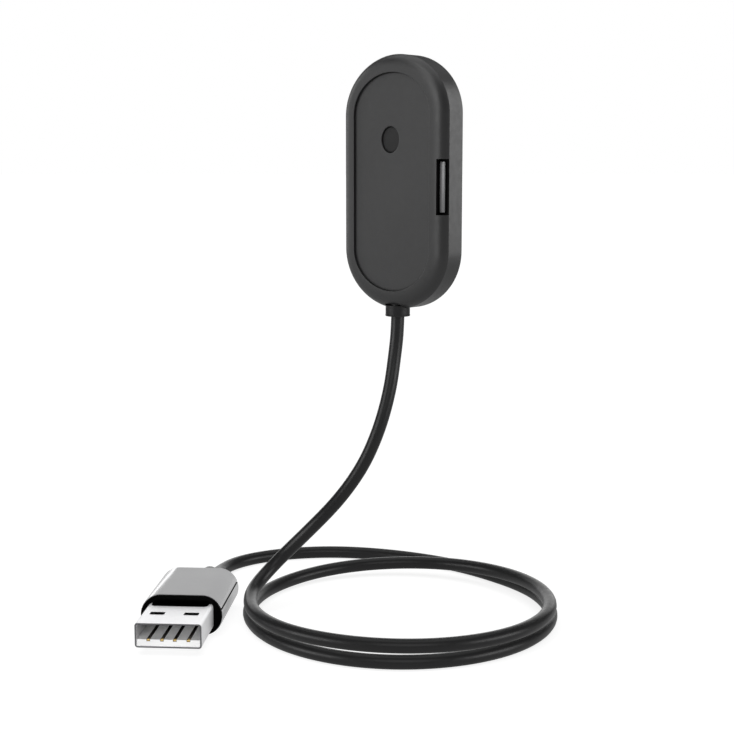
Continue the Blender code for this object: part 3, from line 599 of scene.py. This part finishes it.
def shoulder_corners():
    """From the rim beside the panel round to the crease, as one Bezier arc."""
    slope = math.radians(CREASE_ANGLE_DEG)
    rim = np.array((SHOULDER_WIDTH, 0.0))
    crown = np.array((SHOULDER_WIDTH - SHOULDER_CROWN, 0.0))
    crease = np.array((0.0, SHOULDER_DEPTH))
    side = crease + SHOULDER_SIDE * np.array((math.cos(slope), -math.sin(slope)))
    corners = []
    for i in range(1, SHOULDER_STEPS + 1):
        t = i / SHOULDER_STEPS
        u = 1 - t
        inset, depth = u**3 * rim + 3 * u**2 * t * crown + 3 * u * t**2 * side + t**3 * crease
        corners.append((inset, RIM_Y + depth, 0.0))
    return corners


def make_housing(m):
    """The dock's shell: its section runs round the outline, from the ledge back to the cavity."""
    ledge = SHOULDER_WIDTH + 1.0 * MM
    corners = [
        (ledge, CAVITY_FRONT_Y, 0.0),
        (ledge, LEDGE_Y, 0.0),
        (SHOULDER_WIDTH, LEDGE_Y, 0.0),
        (SHOULDER_WIDTH, RIM_Y, 0.1 * MM),
        *shoulder_corners(),
        (0.0, CREASE_Y + 0.1 * MM, 0.0),
        (0.0, BACK_Y - 0.6 * MM, 0.0),
        (0.0, BACK_Y, 0.35 * MM),
        (0.6 * MM, BACK_Y, 0.0),
        (COVER_INSET, BACK_Y, 0.1 * MM),
        (COVER_INSET, COVER_SEAT_Y, 0.0),
        (2.2 * MM, COVER_SEAT_Y, 0.0),
        (2.2 * MM, CAVITY_FRONT_Y, 0.0),
    ]
    rings = [pill_ring(u, v) for u, v in rounded_profile(corners, closed=True)]
    housing = loft("dock_shell", rings, m["housing"], True, CREASE_SHARP_DEG)
    low_z = LATCH_LOW.z - SLOT_END_GAP
    high_z = LATCH_HIGH.z + SLOT_END_GAP
    low = (SLOT_INNER_X, RIM_Y - 2 * MM, low_z)
    high = (HALF_WIDTH + 2 * MM, CREASE_Y, high_z)
    # painted shade: the cut faces of the slot and of its pocket take the near-black painted shade
    # material
    slot = box_mesh("slot", low, high, m["inside"])
    low = (SLOT_POCKET_X[0], CREASE_Y - 0.9 * MM, low_z)
    high = (SLOT_POCKET_X[1], CREASE_Y - 0.01 * MM, high_z)
    pocket = box_mesh("slot_pocket", low, high, m["inside"])
    radius = COLLAR_HIGH.x + SEAM
    profile = [(radius, COLLAR_HIGH.z - 1.5 * MM), (radius, COLLAR_LOW.z - MM)]
    mouth = turned("collar_mouth", profile, m["housing"], (0.0, COLLAR_Y, 0.0))
    carve(housing, [slot, pocket, mouth], sharp_deg=CREASE_SHARP_DEG)
    return settle(housing, "dock", "housing", "dock_housing")


def hole_ring(half_width, half_height, y):
    """The button hole's edge, with its points in step with those of the dock's outline."""
    centre = (BUTTON_LOW + BUTTON_HIGH) / 2
    ring = []
    for side in (1, -1):
        for i in range(CAP_SEGMENTS + 1):
            turn = math.pi * i / CAP_SEGMENTS
            x = centre.x + side * half_width * math.cos(turn)
            ring.append((x, y, centre.z + side * half_height * math.sin(turn)))
    return ring


def make_panel(m):
    """The front plate: a closed loft down its outer edge, through its back and up the hole."""
    outer = SHOULDER_WIDTH + SEAM
    wide = HOLE_HALF_WIDTH
    tall = HOLE_HALF_HEIGHT
    hole = [(0.3, 0.0), (0.04, 0.0), (0.012, 0.012), (0.0, 0.04)]
    rings = [hole_ring(wide + u * MM, tall + u * MM, PANEL_Y + v * MM) for u, v in hole]
    rings.append(hole_ring(wide, tall, PANEL_HIGH.y))
    rings.append(pill_ring(outer, PANEL_HIGH.y))
    edge = [(0.0, 0.04), (0.012, 0.012), (0.04, 0.0), (0.4, 0.0)]
    rings += [pill_ring(outer + u * MM, PANEL_Y + v * MM) for u, v in edge]
    panel = loft("panel_plate", rings, m["panel"], closed=True)
    return settle(panel, "dock", "panel", "front_panel")


def make_button(m):
    """The rubber cap: nearly flat, with a soft edge, in a hole that it almost fills."""
    centre = (BUTTON_LOW + BUTTON_HIGH) / 2
    wide = HOLE_HALF_WIDTH - BUTTON_GAP
    tall = HOLE_HALF_HEIGHT - BUTTON_GAP
    top = BUTTON_LOW.y
    bottom = top + 1.05 * MM
    edge = [(0.9, 0.0), (0.45, 0.01), (0.2, 0.035), (0.08, 0.08), (0.02, 0.14), (0.0, 0.22)]
    rings = [oval_ring(wide - u * MM, tall - u * MM, top + v * MM) for u, v in edge]
    rings.append(oval_ring(wide, tall, bottom))
    button = loft("button_cap", rings, m["button"])
    button.data.transform(Matrix.Translation((centre.x, 0.0, centre.z)))
    return settle(button, "reset_button", "button", "reset_button")


def latch_ring(z, inset):
    """The latch's section at height z: flat behind, and crowned in front."""
    crown = math.radians(LATCH_CROWN_DEG)
    half = (LATCH_HIGH.x - LATCH_LOW.x) / 2 - inset
    radius = half / math.sin(crown)
    middle = (LATCH_LOW.x + LATCH_HIGH.x) / 2
    ring = [(middle + half, LATCH_HIGH.y, z), (middle - half, LATCH_HIGH.y, z)]
    for i in range(13):
        turn = crown * (i / 6 - 1)
        depth = radius * (1 - math.cos(turn)) + inset
        ring.append((middle + radius * math.sin(turn), LATCH_LOW.y + depth, z))
    return ring


def make_latch(m):
    edge = 0.06 * MM
    low = LATCH_LOW.z
    high = LATCH_HIGH.z
    stations = [(low, edge), (low + edge / 3, edge / 3), (low + edge, 0.0)]
    stations += [(high - edge, 0.0), (high - edge / 3, edge / 3), (high, edge)]
    bar = loft("latch_bar", [latch_ring(z, inset) for z, inset in stations], m["latch"])
    return settle(bar, "release_latch", "latch", "release_latch")


def make_collar(m):
    """The short sleeve that the lead comes out of, with a fine step above its mouth."""
    height = COLLAR_HIGH.z - COLLAR_LOW.z
    shoulder = height - 1.8 * MM
    radius = COLLAR_HIGH.x
    neck = 1.3 * MM
    corners = [
        (0.0, height, 0.0),
        (neck, height, 0.0),
        (neck, shoulder, 0.0),
        (radius - 0.04 * MM, shoulder, 0.0),
        (radius - 0.04 * MM, 0.38 * MM, 0.02 * MM),
        (radius, 0.34 * MM, 0.03 * MM),
        (radius, 0.0, 0.16 * MM),
        (CORD_RADIUS + 0.06 * MM, 0.0, 0.06 * MM),
        (CORD_RADIUS + 0.04 * MM, 0.6 * MM, 0.0),
        (0.0, 0.6 * MM, 0.0),
    ]
    profile = rounded_profile(corners)
    place = (0.0, COLLAR_Y, COLLAR_LOW.z)
    collar = turned("collar_sleeve", profile, m["collar"], place, steps=64)
    return settle(collar, "dock", "collar", "cable_collar")


def screw_places():
    """One screw in each quarter of the rear cover, at 45 degrees on its rounded end."""
    reach = math.sqrt(0.5)
    inset = 3.1 * MM
    x = (HALF_WIDTH - inset) * reach
    z = STRAIGHT_HALF + (CAP_HEIGHT - inset) * reach
    return [(x, z), (-x, z), (-x, -z), (x, -z)]


def make_rear_cover(m):
    """The back of the dock, with the tracker's pocket in it."""
    edge = COVER_INSET + SEAM
    corners = [
        (edge, COVER_LOW.y, 0.0),
        (edge, BACK_Y, 0.1 * MM),
        (POCKET_INSET, BACK_Y, 0.15 * MM),
        (POCKET_INSET + 0.12 * MM, 0.0, 0.12 * MM),
        (POCKET_INSET + 1.5 * MM, 0.0, 0.0),
    ]
    rings = [pill_ring(u, v) for u, v in rounded_profile(corners)]
    cover = loft("rear_shell", rings, m["housing"])
    cutters = []
    for i, (x, z) in enumerate(screw_places()):
        depth = BACK_Y - 0.8 * MM
        profile = [(1.15 * MM, 2 * MM), (1.15 * MM, 0.0), (0.85 * MM, 0.0), (0.85 * MM, -2 * MM)]
        cutters.append(turned(f"seat_{i}", profile, m["housing"], (x, depth, z), (0, 1, 0)))
    for side in ("left", "right"):
        low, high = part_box(f"pogo_barrel_{side}")
        centre = (low + high) / 2
        profile = [(0.9 * MM, 2 * MM), (0.9 * MM, -4 * MM)]
        place = (centre.x, 0.0, centre.z)
        cutters.append(turned(f"pogo_{side}", profile, m["housing"], place, (0, 1, 0)))
    carve(cover, cutters, bevel=0.04 * MM)
    # The flat faces are shaded flat, or the edges of the holes streak the pocket's floor.
    for face in cover.data.polygons:
        if face.normal.y > 0.9999:
            face.use_smooth = False
    return settle(cover, "dock", "housing", "rear_cover")


def make_screws(m):
    """Pan-head screws with a cross cut."""
    length = 2.9 * MM
    cross = ((0.6 * MM, 0.12 * MM), (0.12 * MM, 0.6 * MM))
    for i, (x, z) in enumerate(screw_places()):
        corners = [
            (0.0, 0.0, 0.0),
            (1.0 * MM, 0.0, 0.15 * MM),
            (1.0 * MM, -0.5 * MM, 0.0),
            (0.55 * MM, -0.5 * MM, 0.0),
            (0.55 * MM, -length + 0.4 * MM, 0.0),
            (0.0, -length, 0.0),
        ]
        name = f"cover_screw_{i + 1}"
        place = (x, BACK_Y, z)
        screw = turned(f"{name}_fine", rounded_profile(corners), m["screw"], place, (0, 1, 0))
        cutters = []
        for k, (half_x, half_z) in enumerate(cross):
            low = (x - half_x, BACK_Y - 0.28 * MM, z - half_z)
            high = (x + half_x, BACK_Y + 0.3 * MM, z + half_z)
            cutters.append(box_mesh(f"cross_{k}", low, high, m["screw"]))
        carve(screw, cutters)
        settle(screw, "dock", "screw", name)


def make_pogo_pins(m):
    for side in ("left", "right"):
        low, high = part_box(f"pogo_pin_{side}")
        centre = (low + high) / 2
        radius = 0.35 * MM
        length = high.y - low.y
        corners = [
            (0.0, 0.0, 0.0),
            (radius, 0.0, 0.3 * MM),
            (radius, -length, 0.05 * MM),
            (0.0, -length, 0.0),
        ]
        place = (centre.x, high.y, centre.z)
        pin = turned(f"pogo_pin_{side}_fine", rounded_profile(corners), m["gold"], place, (0, 1, 0))
        settle(pin, f"pogo_{side}", "gold", f"pogo_pin_{side}")


def spring_rings(low, high, wire):
    """Rings round a helical wire of radius wire, which fills the box from low to high along Y."""
    coils = 5
    steps = 14
    centre = (low + high) / 2
    radius = (high.x - low.x) / 2 - wire
    rings = []
    count = coils * steps
    for i in range(count + 1):
        turn = 2 * math.pi * i / steps
        outward = Vector((math.cos(turn), 0.0, math.sin(turn)))
        y = low.y + wire + (high.y - low.y - 2 * wire) * i / count
        middle = Vector((centre.x, y, centre.z)) + radius * outward
        ring = []
        for k in range(8):
            angle = 2 * math.pi * k / 8
            spoke = outward * math.cos(angle) + Vector((0.0, math.sin(angle), 0.0))
            ring.append(middle + wire * spoke)
        rings.append(ring)
    return rings


def make_pogo_springs(m):
    """A coiled spring for each pogo pin, in the place of its CAD node, seated in the barrel."""
    for side in ("left", "right"):
        low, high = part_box(f"pogo_spring_{side}")
        rings = spring_rings(low, high, 0.05 * MM)
        spring = loft(f"pogo_spring_{side}_coil", rings, m["spring_steel"])
        settle(spring, "dock", "spring_steel", f"pogo_spring_{side}")
        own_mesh(spring)


# --- The plug: built along +Y from its tip, then turned and moved into place -----------------


def plug_matrix():
    turn = Matrix.Rotation(math.radians(PLUG_HEADING_DEG - 90.0), 4, "Z")
    place = Vector((PLUG_TIP[0], PLUG_TIP[1], FLOOR_Z + PLUG_AXIS_HEIGHT))
    return Matrix.Translation(place) @ turn


def in_plug(obj, slot, *nodes):
    obj.data.transform(plug_matrix())
    return settle(obj, "dock", slot, *nodes)


def make_shell(m):
    """The folded steel shell, with two windows through it and a darker metal colour on the faces at
    its mouth.
    """
    wall = SHELL_WALL
    lip = 0.05 * MM
    radius = 0.55 * MM
    stations = [
        (lip, 0.0),
        (0.0, lip),
        (0.0, SHELL_LENGTH),
        (wall, SHELL_LENGTH),
        (wall, lip),
        (wall - lip, 0.0),
    ]
    rings = []
    for inset, y in stations:
        ring_radius = radius - inset
        half_width = SHELL_HALF_WIDTH - inset
        half_height = SHELL_HALF_HEIGHT - inset
        rings.append(rounded_ring(half_width, half_height, ring_radius, y))
    shell = loft("usb_shell", rings, m["usb_shell"], closed=True)
    window = rounded_ring(1.35 * MM, 0.8 * MM, 0.25 * MM, 0.0, 6)
    window_y = 5.8 * MM
    cutters = []
    for i, x in enumerate((-3.1 * MM, 3.1 * MM)):
        rings = []
        for z in (-4 * MM, 4 * MM):
            rings.append([(x + px, window_y + pz, z) for px, _, pz in window])
        # painted shade: the windows' cut faces take the near-black painted shade material
        cutters.append(loft(f"window_{i}", rings, m["inside"]))
    carve(shell, cutters)
    shell.data.materials.append(m["shell_edge"])
    edge_slot = len(shell.data.materials) - 1
    for face in shell.data.polygons:
        if face.center.y < lip * 0.8:
            face.material_index = edge_slot
    return in_plug(shell, "usb_shell", "plug_shell")


def make_tongue(m):
    """The white plate inside the shell, with a groove for each contact."""
    top = TONGUE_TOP
    bottom = SHELL_WALL - SHELL_HALF_HEIGHT + 0.01 * MM
    half_width = SHELL_HALF_WIDTH - SHELL_WALL - 0.02 * MM
    low = (-half_width, 0.25 * MM, bottom)
    tongue = box_mesh("usb_tongue", low, (half_width, SHELL_LENGTH, top), m["usb_tongue"], 0.08 * MM)
    grooves = []
    for i, x in enumerate(CONTACT_X):
        low = (x - 0.33 * MM, 0.0, top - 0.35 * MM)
        high = (x + 0.33 * MM, SHELL_LENGTH - MM, top + MM)
        # painted shade: the grooves' cut faces in the white tongue take the near-black groove
        # material
        grooves.append(box_mesh(f"groove_{i}", low, high, m["groove"]))
    carve(tongue, grooves)
    return in_plug(tongue, "usb_tongue", "plug_tongue")


def make_contacts(m):
    """Four flat gold blades, each turned down into the tongue at its front end."""
    top = TONGUE_TOP
    pieces = []
    for i, x in enumerate(CONTACT_X):
        low = (x - 0.3 * MM, CONTACT_START, top - 0.3 * MM)
        high = (x + 0.3 * MM, SHELL_LENGTH - 1.3 * MM, top + 0.02 * MM)
        contact = box_mesh(f"usb_contact_{i + 1}", low, high, m["contact"], 0.06 * MM)
        pieces.append(in_plug(contact, "gold", f"plug_contact_{i + 1}"))
    return pieces


def make_core(m):
    """The black block that holds the shell: its flat face closes the casing's front."""
    wide = CASING_HALF_WIDTH - 0.12 * MM
    tall = CASING_HALF_HEIGHT - 0.12 * MM
    slim = 0.42 * MM
    end = CASING_END - 1.6 * MM
    stations = [
        (0.06 * MM, SHELL_VISIBLE),
        (0.0, SHELL_VISIBLE + 0.06 * MM),
        (0.0, CASING_START - SEAM),
        (slim, CASING_START - SEAM),
        (slim, end),
    ]
    rings = []
    for inset, y in stations:
        rings.append(rounded_ring(wide - inset, tall - inset, tall - inset, y, 24))
    core = loft("usb_core", rings, m["core"])
    half_width = SHELL_HALF_WIDTH + 0.03 * MM
    half_height = SHELL_HALF_HEIGHT + 0.03 * MM
    socket_rings = []
    for y in (SHELL_VISIBLE - MM, SHELL_LENGTH + 0.3 * MM):
        socket_rings.append(rounded_ring(half_width, half_height, 0.56 * MM, y))
    socket = loft("socket", socket_rings, m["core"])
    carve(core, [socket])
    return in_plug(core, "usb_core", "plug_core")


def make_core_lip(m):
    """The block's thin lip, which laps over the rear of the shell's top."""
    base = SHELL_HALF_HEIGHT + 0.01 * MM
    outline = rounded_ring(5.25 * MM, 1.05 * MM, 0.85 * MM, 0.0)
    middle = SHELL_VISIBLE - 0.6 * MM
    rings = []
    for height, share in ((0.0, 1.0), (0.1, 1.0), (0.17, 0.985), (0.2, 0.95)):
        level = base + height * MM
        rings.append([(x * share, z * share + middle, level) for x, _, z in outline])
    return in_plug(loft("usb_core_lip", rings, m["core"]), "usb_core")


def casing_rings():
    """The casing's hollow section, which is open at the front and drawn in at the rear."""
    wide = CASING_HALF_WIDTH
    tall = CASING_HALF_HEIGHT
    wall = 0.5 * MM
    rear = 0.6 * MM
    corners = [
        (wall, CASING_END - rear, 0.0),
        (wall, CASING_START, 0.03 * MM),
        (0.0, CASING_START, 0.06 * MM),
        (0.0, CASING_END, 0.35 * MM),
        (1.2 * MM, CASING_END, 0.0),
    ]
    rings = []
    for inset, y in rounded_profile(corners):
        rings.append(rounded_ring(wide - inset, tall - inset, tall - inset, y, 28))
    return rings


def make_casing(m):
    """The two covers, which meet in a fine groove a little above the middle."""
    half_gap = 0.16 * MM
    reach = 10 * MM
    sides = {
        "upper": (-reach, CASING_SPLIT_Z + half_gap),
        "lower": (CASING_SPLIT_Z - half_gap, reach),
    }
    pieces = []
    for name, (low_z, high_z) in sides.items():
        cover = loft(f"casing_{name}", casing_rings(), m["casing"])
        low = (-reach, CASING_START - 2 * MM, low_z)
        # painted shade: the faces cut along the gap between the covers take the near-black groove
        # material
        removed = box_mesh("removed", low, (reach, CASING_END + 2 * MM, high_z), m["groove"])
        radius = RELIEF_RADIUS - 0.25 * MM
        profile = [(radius, 3 * MM), (radius, -3 * MM)]
        hole = turned("relief_hole", profile, m["casing"], (0.0, CASING_END, 0.0), (0, 1, 0))
        carve(cover, [removed, hole], bevel=0.05 * MM)
        pieces.append(in_plug(cover, "casing", f"plug_cover_{name}"))
    return pieces


def make_relief(m):
    """The sleeve behind the casing, held by the flange and neck inside it."""
    start = CASING_END - 1.3 * MM
    length = RELIEF_END - start
    body_start = CASING_END + 0.05 * MM - start
    neck = 2.2 * MM
    flange = 2.9 * MM
    corners = [
        (0.0, length, 0.0),
        (CORD_RADIUS + 0.1 * MM, length, 0.0),
        (RELIEF_RADIUS - 0.45 * MM, length, 0.35 * MM),
        (RELIEF_RADIUS, body_start + 1.2 * MM, 0.3 * MM),
        (RELIEF_RADIUS, body_start, 0.1 * MM),
        (neck, body_start, 0.0),
        (neck, 0.4 * MM, 0.0),
        (flange, 0.4 * MM, 0.0),
        (flange, 0.0, 0.0),
        (0.0, 0.0, 0.0),
    ]
    profile = rounded_profile(corners)
    relief = turned("relief_sleeve", profile, m["relief"], (0.0, start, 0.0), (0, 1, 0), 64)
    return in_plug(relief, "relief", "plug_strain_relief")


def make_plug(m):
    """The plug's pieces, in the groups that are lit alike."""
    return {
        "shell": [make_shell(m), *make_contacts(m), make_relief(m)],
        "tongue": [make_tongue(m)],
        "core": [make_core(m), make_core_lip(m)],
        "casing": make_casing(m),
    }


# --- Pieces that keep their CAD shape --------------------------------------------------------


def finish_cad_nodes(m):
    """Each CAD node that still shows gets the procedural material that its slot names."""
    slots = {part["node"]: part["material_slot"] for part in frame["record"]["subparts"]}
    for name, node in frame["nodes"].items():
        if node.hide_render:
            continue
        node.data.materials.clear()
        node.data.materials.append(m[slots[name]])


# --- Studio ---------------------------------------------------------------------------------


def make_floor():
    """A white floor that runs to the horizon. It glows, so that it stays even."""
    bm = bmesh.new()
    bmesh.ops.create_circle(bm, cap_ends=True, radius=40.0, segments=96)
    mesh = bpy.data.meshes.new("floor")
    bm.to_mesh(mesh)
    bm.free()
    n = Nodes("floor")
    n.link(n.tint(n.noise(2.0), (0.3, 0.3, 0.3), (0.31, 0.31, 0.31)), n.shader.inputs["Base Color"])
    n.shader.inputs["Roughness"].default_value = 0.9
    n.shader.inputs["Specular IOR Level"].default_value = 0.0
    n.shader.inputs["Emission Color"].default_value = (1.0, 1.0, 1.0, 1.0)
    path = n.add("ShaderNodeLightPath")
    glow = n.add("ShaderNodeMapRange")
    glow.inputs["To Min"].default_value = FLOOR_BOUNCE
    glow.inputs["To Max"].default_value = FLOOR_SEEN
    n.link(path.outputs["Is Camera Ray"], glow.inputs["Value"])
    n.link(glow.outputs["Result"], n.shader.inputs["Emission Strength"])
    floor = new_object("floor", mesh, n.material)
    floor.location = (0.0, 0.0, FLOOR_Z)
    return floor


def camera_side(right, toward, up):
    """A place given by its reach to the camera's right, towards the camera, and up."""
    turn = math.radians(LIGHTS_TURN_DEG)
    x = right * math.cos(turn) + toward * math.sin(turn)
    y = right * math.sin(turn) - toward * math.cos(turn)
    return Vector((x, y, up))


def lit_group(name, objects):
    """A set of objects that some lights are kept to, as a studio's flags would keep them."""
    group = bpy.data.collections.new(name)
    for obj in objects:
        group.objects.link(obj)
    return group


def softbox(name, place, size, brightness, lit):
    """A rectangular light of this radiance, which falls on the objects in lit alone."""
    data = bpy.data.lights.new(name, "AREA")
    data.shape = "RECTANGLE"
    data.size, data.size_y = size
    data.energy = brightness * math.pi * size[0] * size[1]
    light = bpy.data.objects.new(name, data)
    light.location = place
    light.rotation_euler = (LIGHTS_AIM - place).to_track_quat("-Z", "Y").to_euler()
    bpy.context.scene.collection.objects.link(light)
    light.visible_camera = False
    light.light_linking.receiver_collection = lit


def light_dock(pieces):
    lit = lit_group("dock_lit", pieces)
    softbox("dock_left_front", camera_side(-0.7, 0.72, 0.16), (0.6, 0.9), 2.9, lit)
    softbox("dock_left", camera_side(-0.95, 0.1, 0.05), (0.5, 0.9), 1.1, lit)
    softbox("dock_left_back", camera_side(-0.8, -0.5, 0.05), (0.3, 0.9), 2.1, lit)
    softbox("dock_right", camera_side(0.8, -0.1, 0.05), (0.6, 1.1), 2.9, lit)
    softbox("dock_top", camera_side(0.0, -0.1, 0.9), (1.2, 1.2), 1.0, lit)
    softbox("dock_top_front", camera_side(-0.5, 0.5, 0.85), (0.8, 0.6), 1.9, lit)


def light_lead(pieces):
    lit = lit_group("lead_lit", pieces)
    softbox("lead_left", camera_side(-0.92, 0.39, 0.08), (0.75, 0.5), 4.4, lit)
    softbox("lead_right", camera_side(0.92, 0.39, 0.08), (0.75, 0.5), 4.4, lit)
    softbox("lead_front", camera_side(0.0, 0.95, 0.5), (0.8, 0.6), 1.6, lit)
    softbox("lead_back", camera_side(0.0, -1.1, 0.2), (1.6, 0.6), 1.5, lit)
    softbox("lead_top", camera_side(0.0, -0.2, 0.9), (1.0, 1.0), 1.0, lit)


def light_plug(plug):
    shell = lit_group("shell_lit", plug["shell"])
    softbox("shell_back", camera_side(0.0, -1.1, 0.3), (2.0, 0.8), 0.9, shell)
    softbox("shell_front", camera_side(-0.1, 0.75, 0.6), (0.8, 0.8), 3.2, shell)
    softbox("shell_top", camera_side(0.0, -0.4, 0.9), (1.4, 1.4), 1.0, shell)
    softbox("shell_right", camera_side(0.9, 0.0, 0.1), (0.8, 0.6), 4.0, shell)
    tongue = lit_group("tongue_lit", plug["tongue"])
    softbox("tongue_front", camera_side(-0.3, 0.9, -0.04), (0.8, 0.2), 16.0, tongue)
    casing = lit_group("casing_lit", plug["casing"])
    softbox("casing_back", camera_side(0.0, -1.1, 0.3), (2.0, 0.8), 0.37, casing)
    softbox("casing_front", camera_side(0.0, 1.1, 0.3), (2.0, 0.8), 0.45, casing)
    softbox("casing_back_left", camera_side(-0.55, -1.05, -0.01), (0.6, 0.17), 1.15, casing)
    softbox("casing_top", camera_side(0.3, 0.2, 0.9), (1.6, 1.6), 0.24, casing)
    softbox("casing_left", camera_side(-0.95, -0.1, 0.3), (0.9, 0.8), 1.8, casing)
    softbox("casing_right", camera_side(0.95, -0.2, 0.1), (1.2, 0.5), 0.9, casing)
    softbox("casing_right_front", camera_side(0.75, 0.65, 0.05), (1.0, 0.5), 0.9, casing)


def make_lights(lead, plug, floor):
    """Three sets of lights: for the dock, for the lead with its collar, and for the plug."""
    apart = [floor, *lead, *(piece for group in plug.values() for piece in group)]
    pieces = [obj for obj in bpy.data.objects if obj.type in ("MESH", "CURVE")]
    light_dock([obj for obj in pieces if obj not in apart])
    light_lead(lead)
    light_plug(plug)
    make_floor_light(floor)


def make_floor_light(floor):
    """A broad sun on the floor alone, for a faint shadow where the lead and the plug lie."""
    data = bpy.data.lights.new("floor_sun", "SUN")
    data.energy = 1.9
    data.angle = math.radians(70)
    sun = bpy.data.objects.new("floor_sun", data)
    sun.rotation_euler = (math.radians(12), math.radians(8), 0.0)
    bpy.context.scene.collection.objects.link(sun)
    sun.light_linking.receiver_collection = lit_group("floor_lit", [floor])


def make_world():
    """A white backdrop to the camera, and a dim fill to everything else."""
    world = bpy.data.worlds.new("studio")
    bpy.context.scene.world = world
    world.use_nodes = True
    nodes = world.node_tree.nodes
    links = world.node_tree.links
    dim = nodes["Background"]
    dim.inputs["Color"].default_value = (1.0, 1.0, 1.0, 1.0)
    dim.inputs["Strength"].default_value = 0.12
    seen = nodes.new("ShaderNodeBackground")
    seen.inputs["Color"].default_value = (1.0, 1.0, 1.0, 1.0)
    seen.inputs["Strength"].default_value = 1.0
    path = nodes.new("ShaderNodeLightPath")
    mix = nodes.new("ShaderNodeMixShader")
    links.new(path.outputs["Is Camera Ray"], mix.inputs["Fac"])
    links.new(dim.outputs["Background"], mix.inputs[1])
    links.new(seen.outputs["Background"], mix.inputs[2])
    links.new(mix.outputs["Shader"], nodes["World Output"].inputs["Surface"])


def main():
    scene = bpy.context.scene
    scene.view_settings.view_transform = "Standard"
    make_camera()
    m = make_materials()
    cable, length = make_lead(m["cord"])
    plug = make_plug(m)
    make_housing(m)
    make_panel(m)
    make_button(m)
    make_latch(m)
    collar = make_collar(m)
    make_rear_cover(m)
    make_screws(m)
    make_pogo_pins(m)
    make_pogo_springs(m)
    finish_cad_nodes(m)
    make_lights([cable, collar], plug, make_floor())
    make_world()


main()
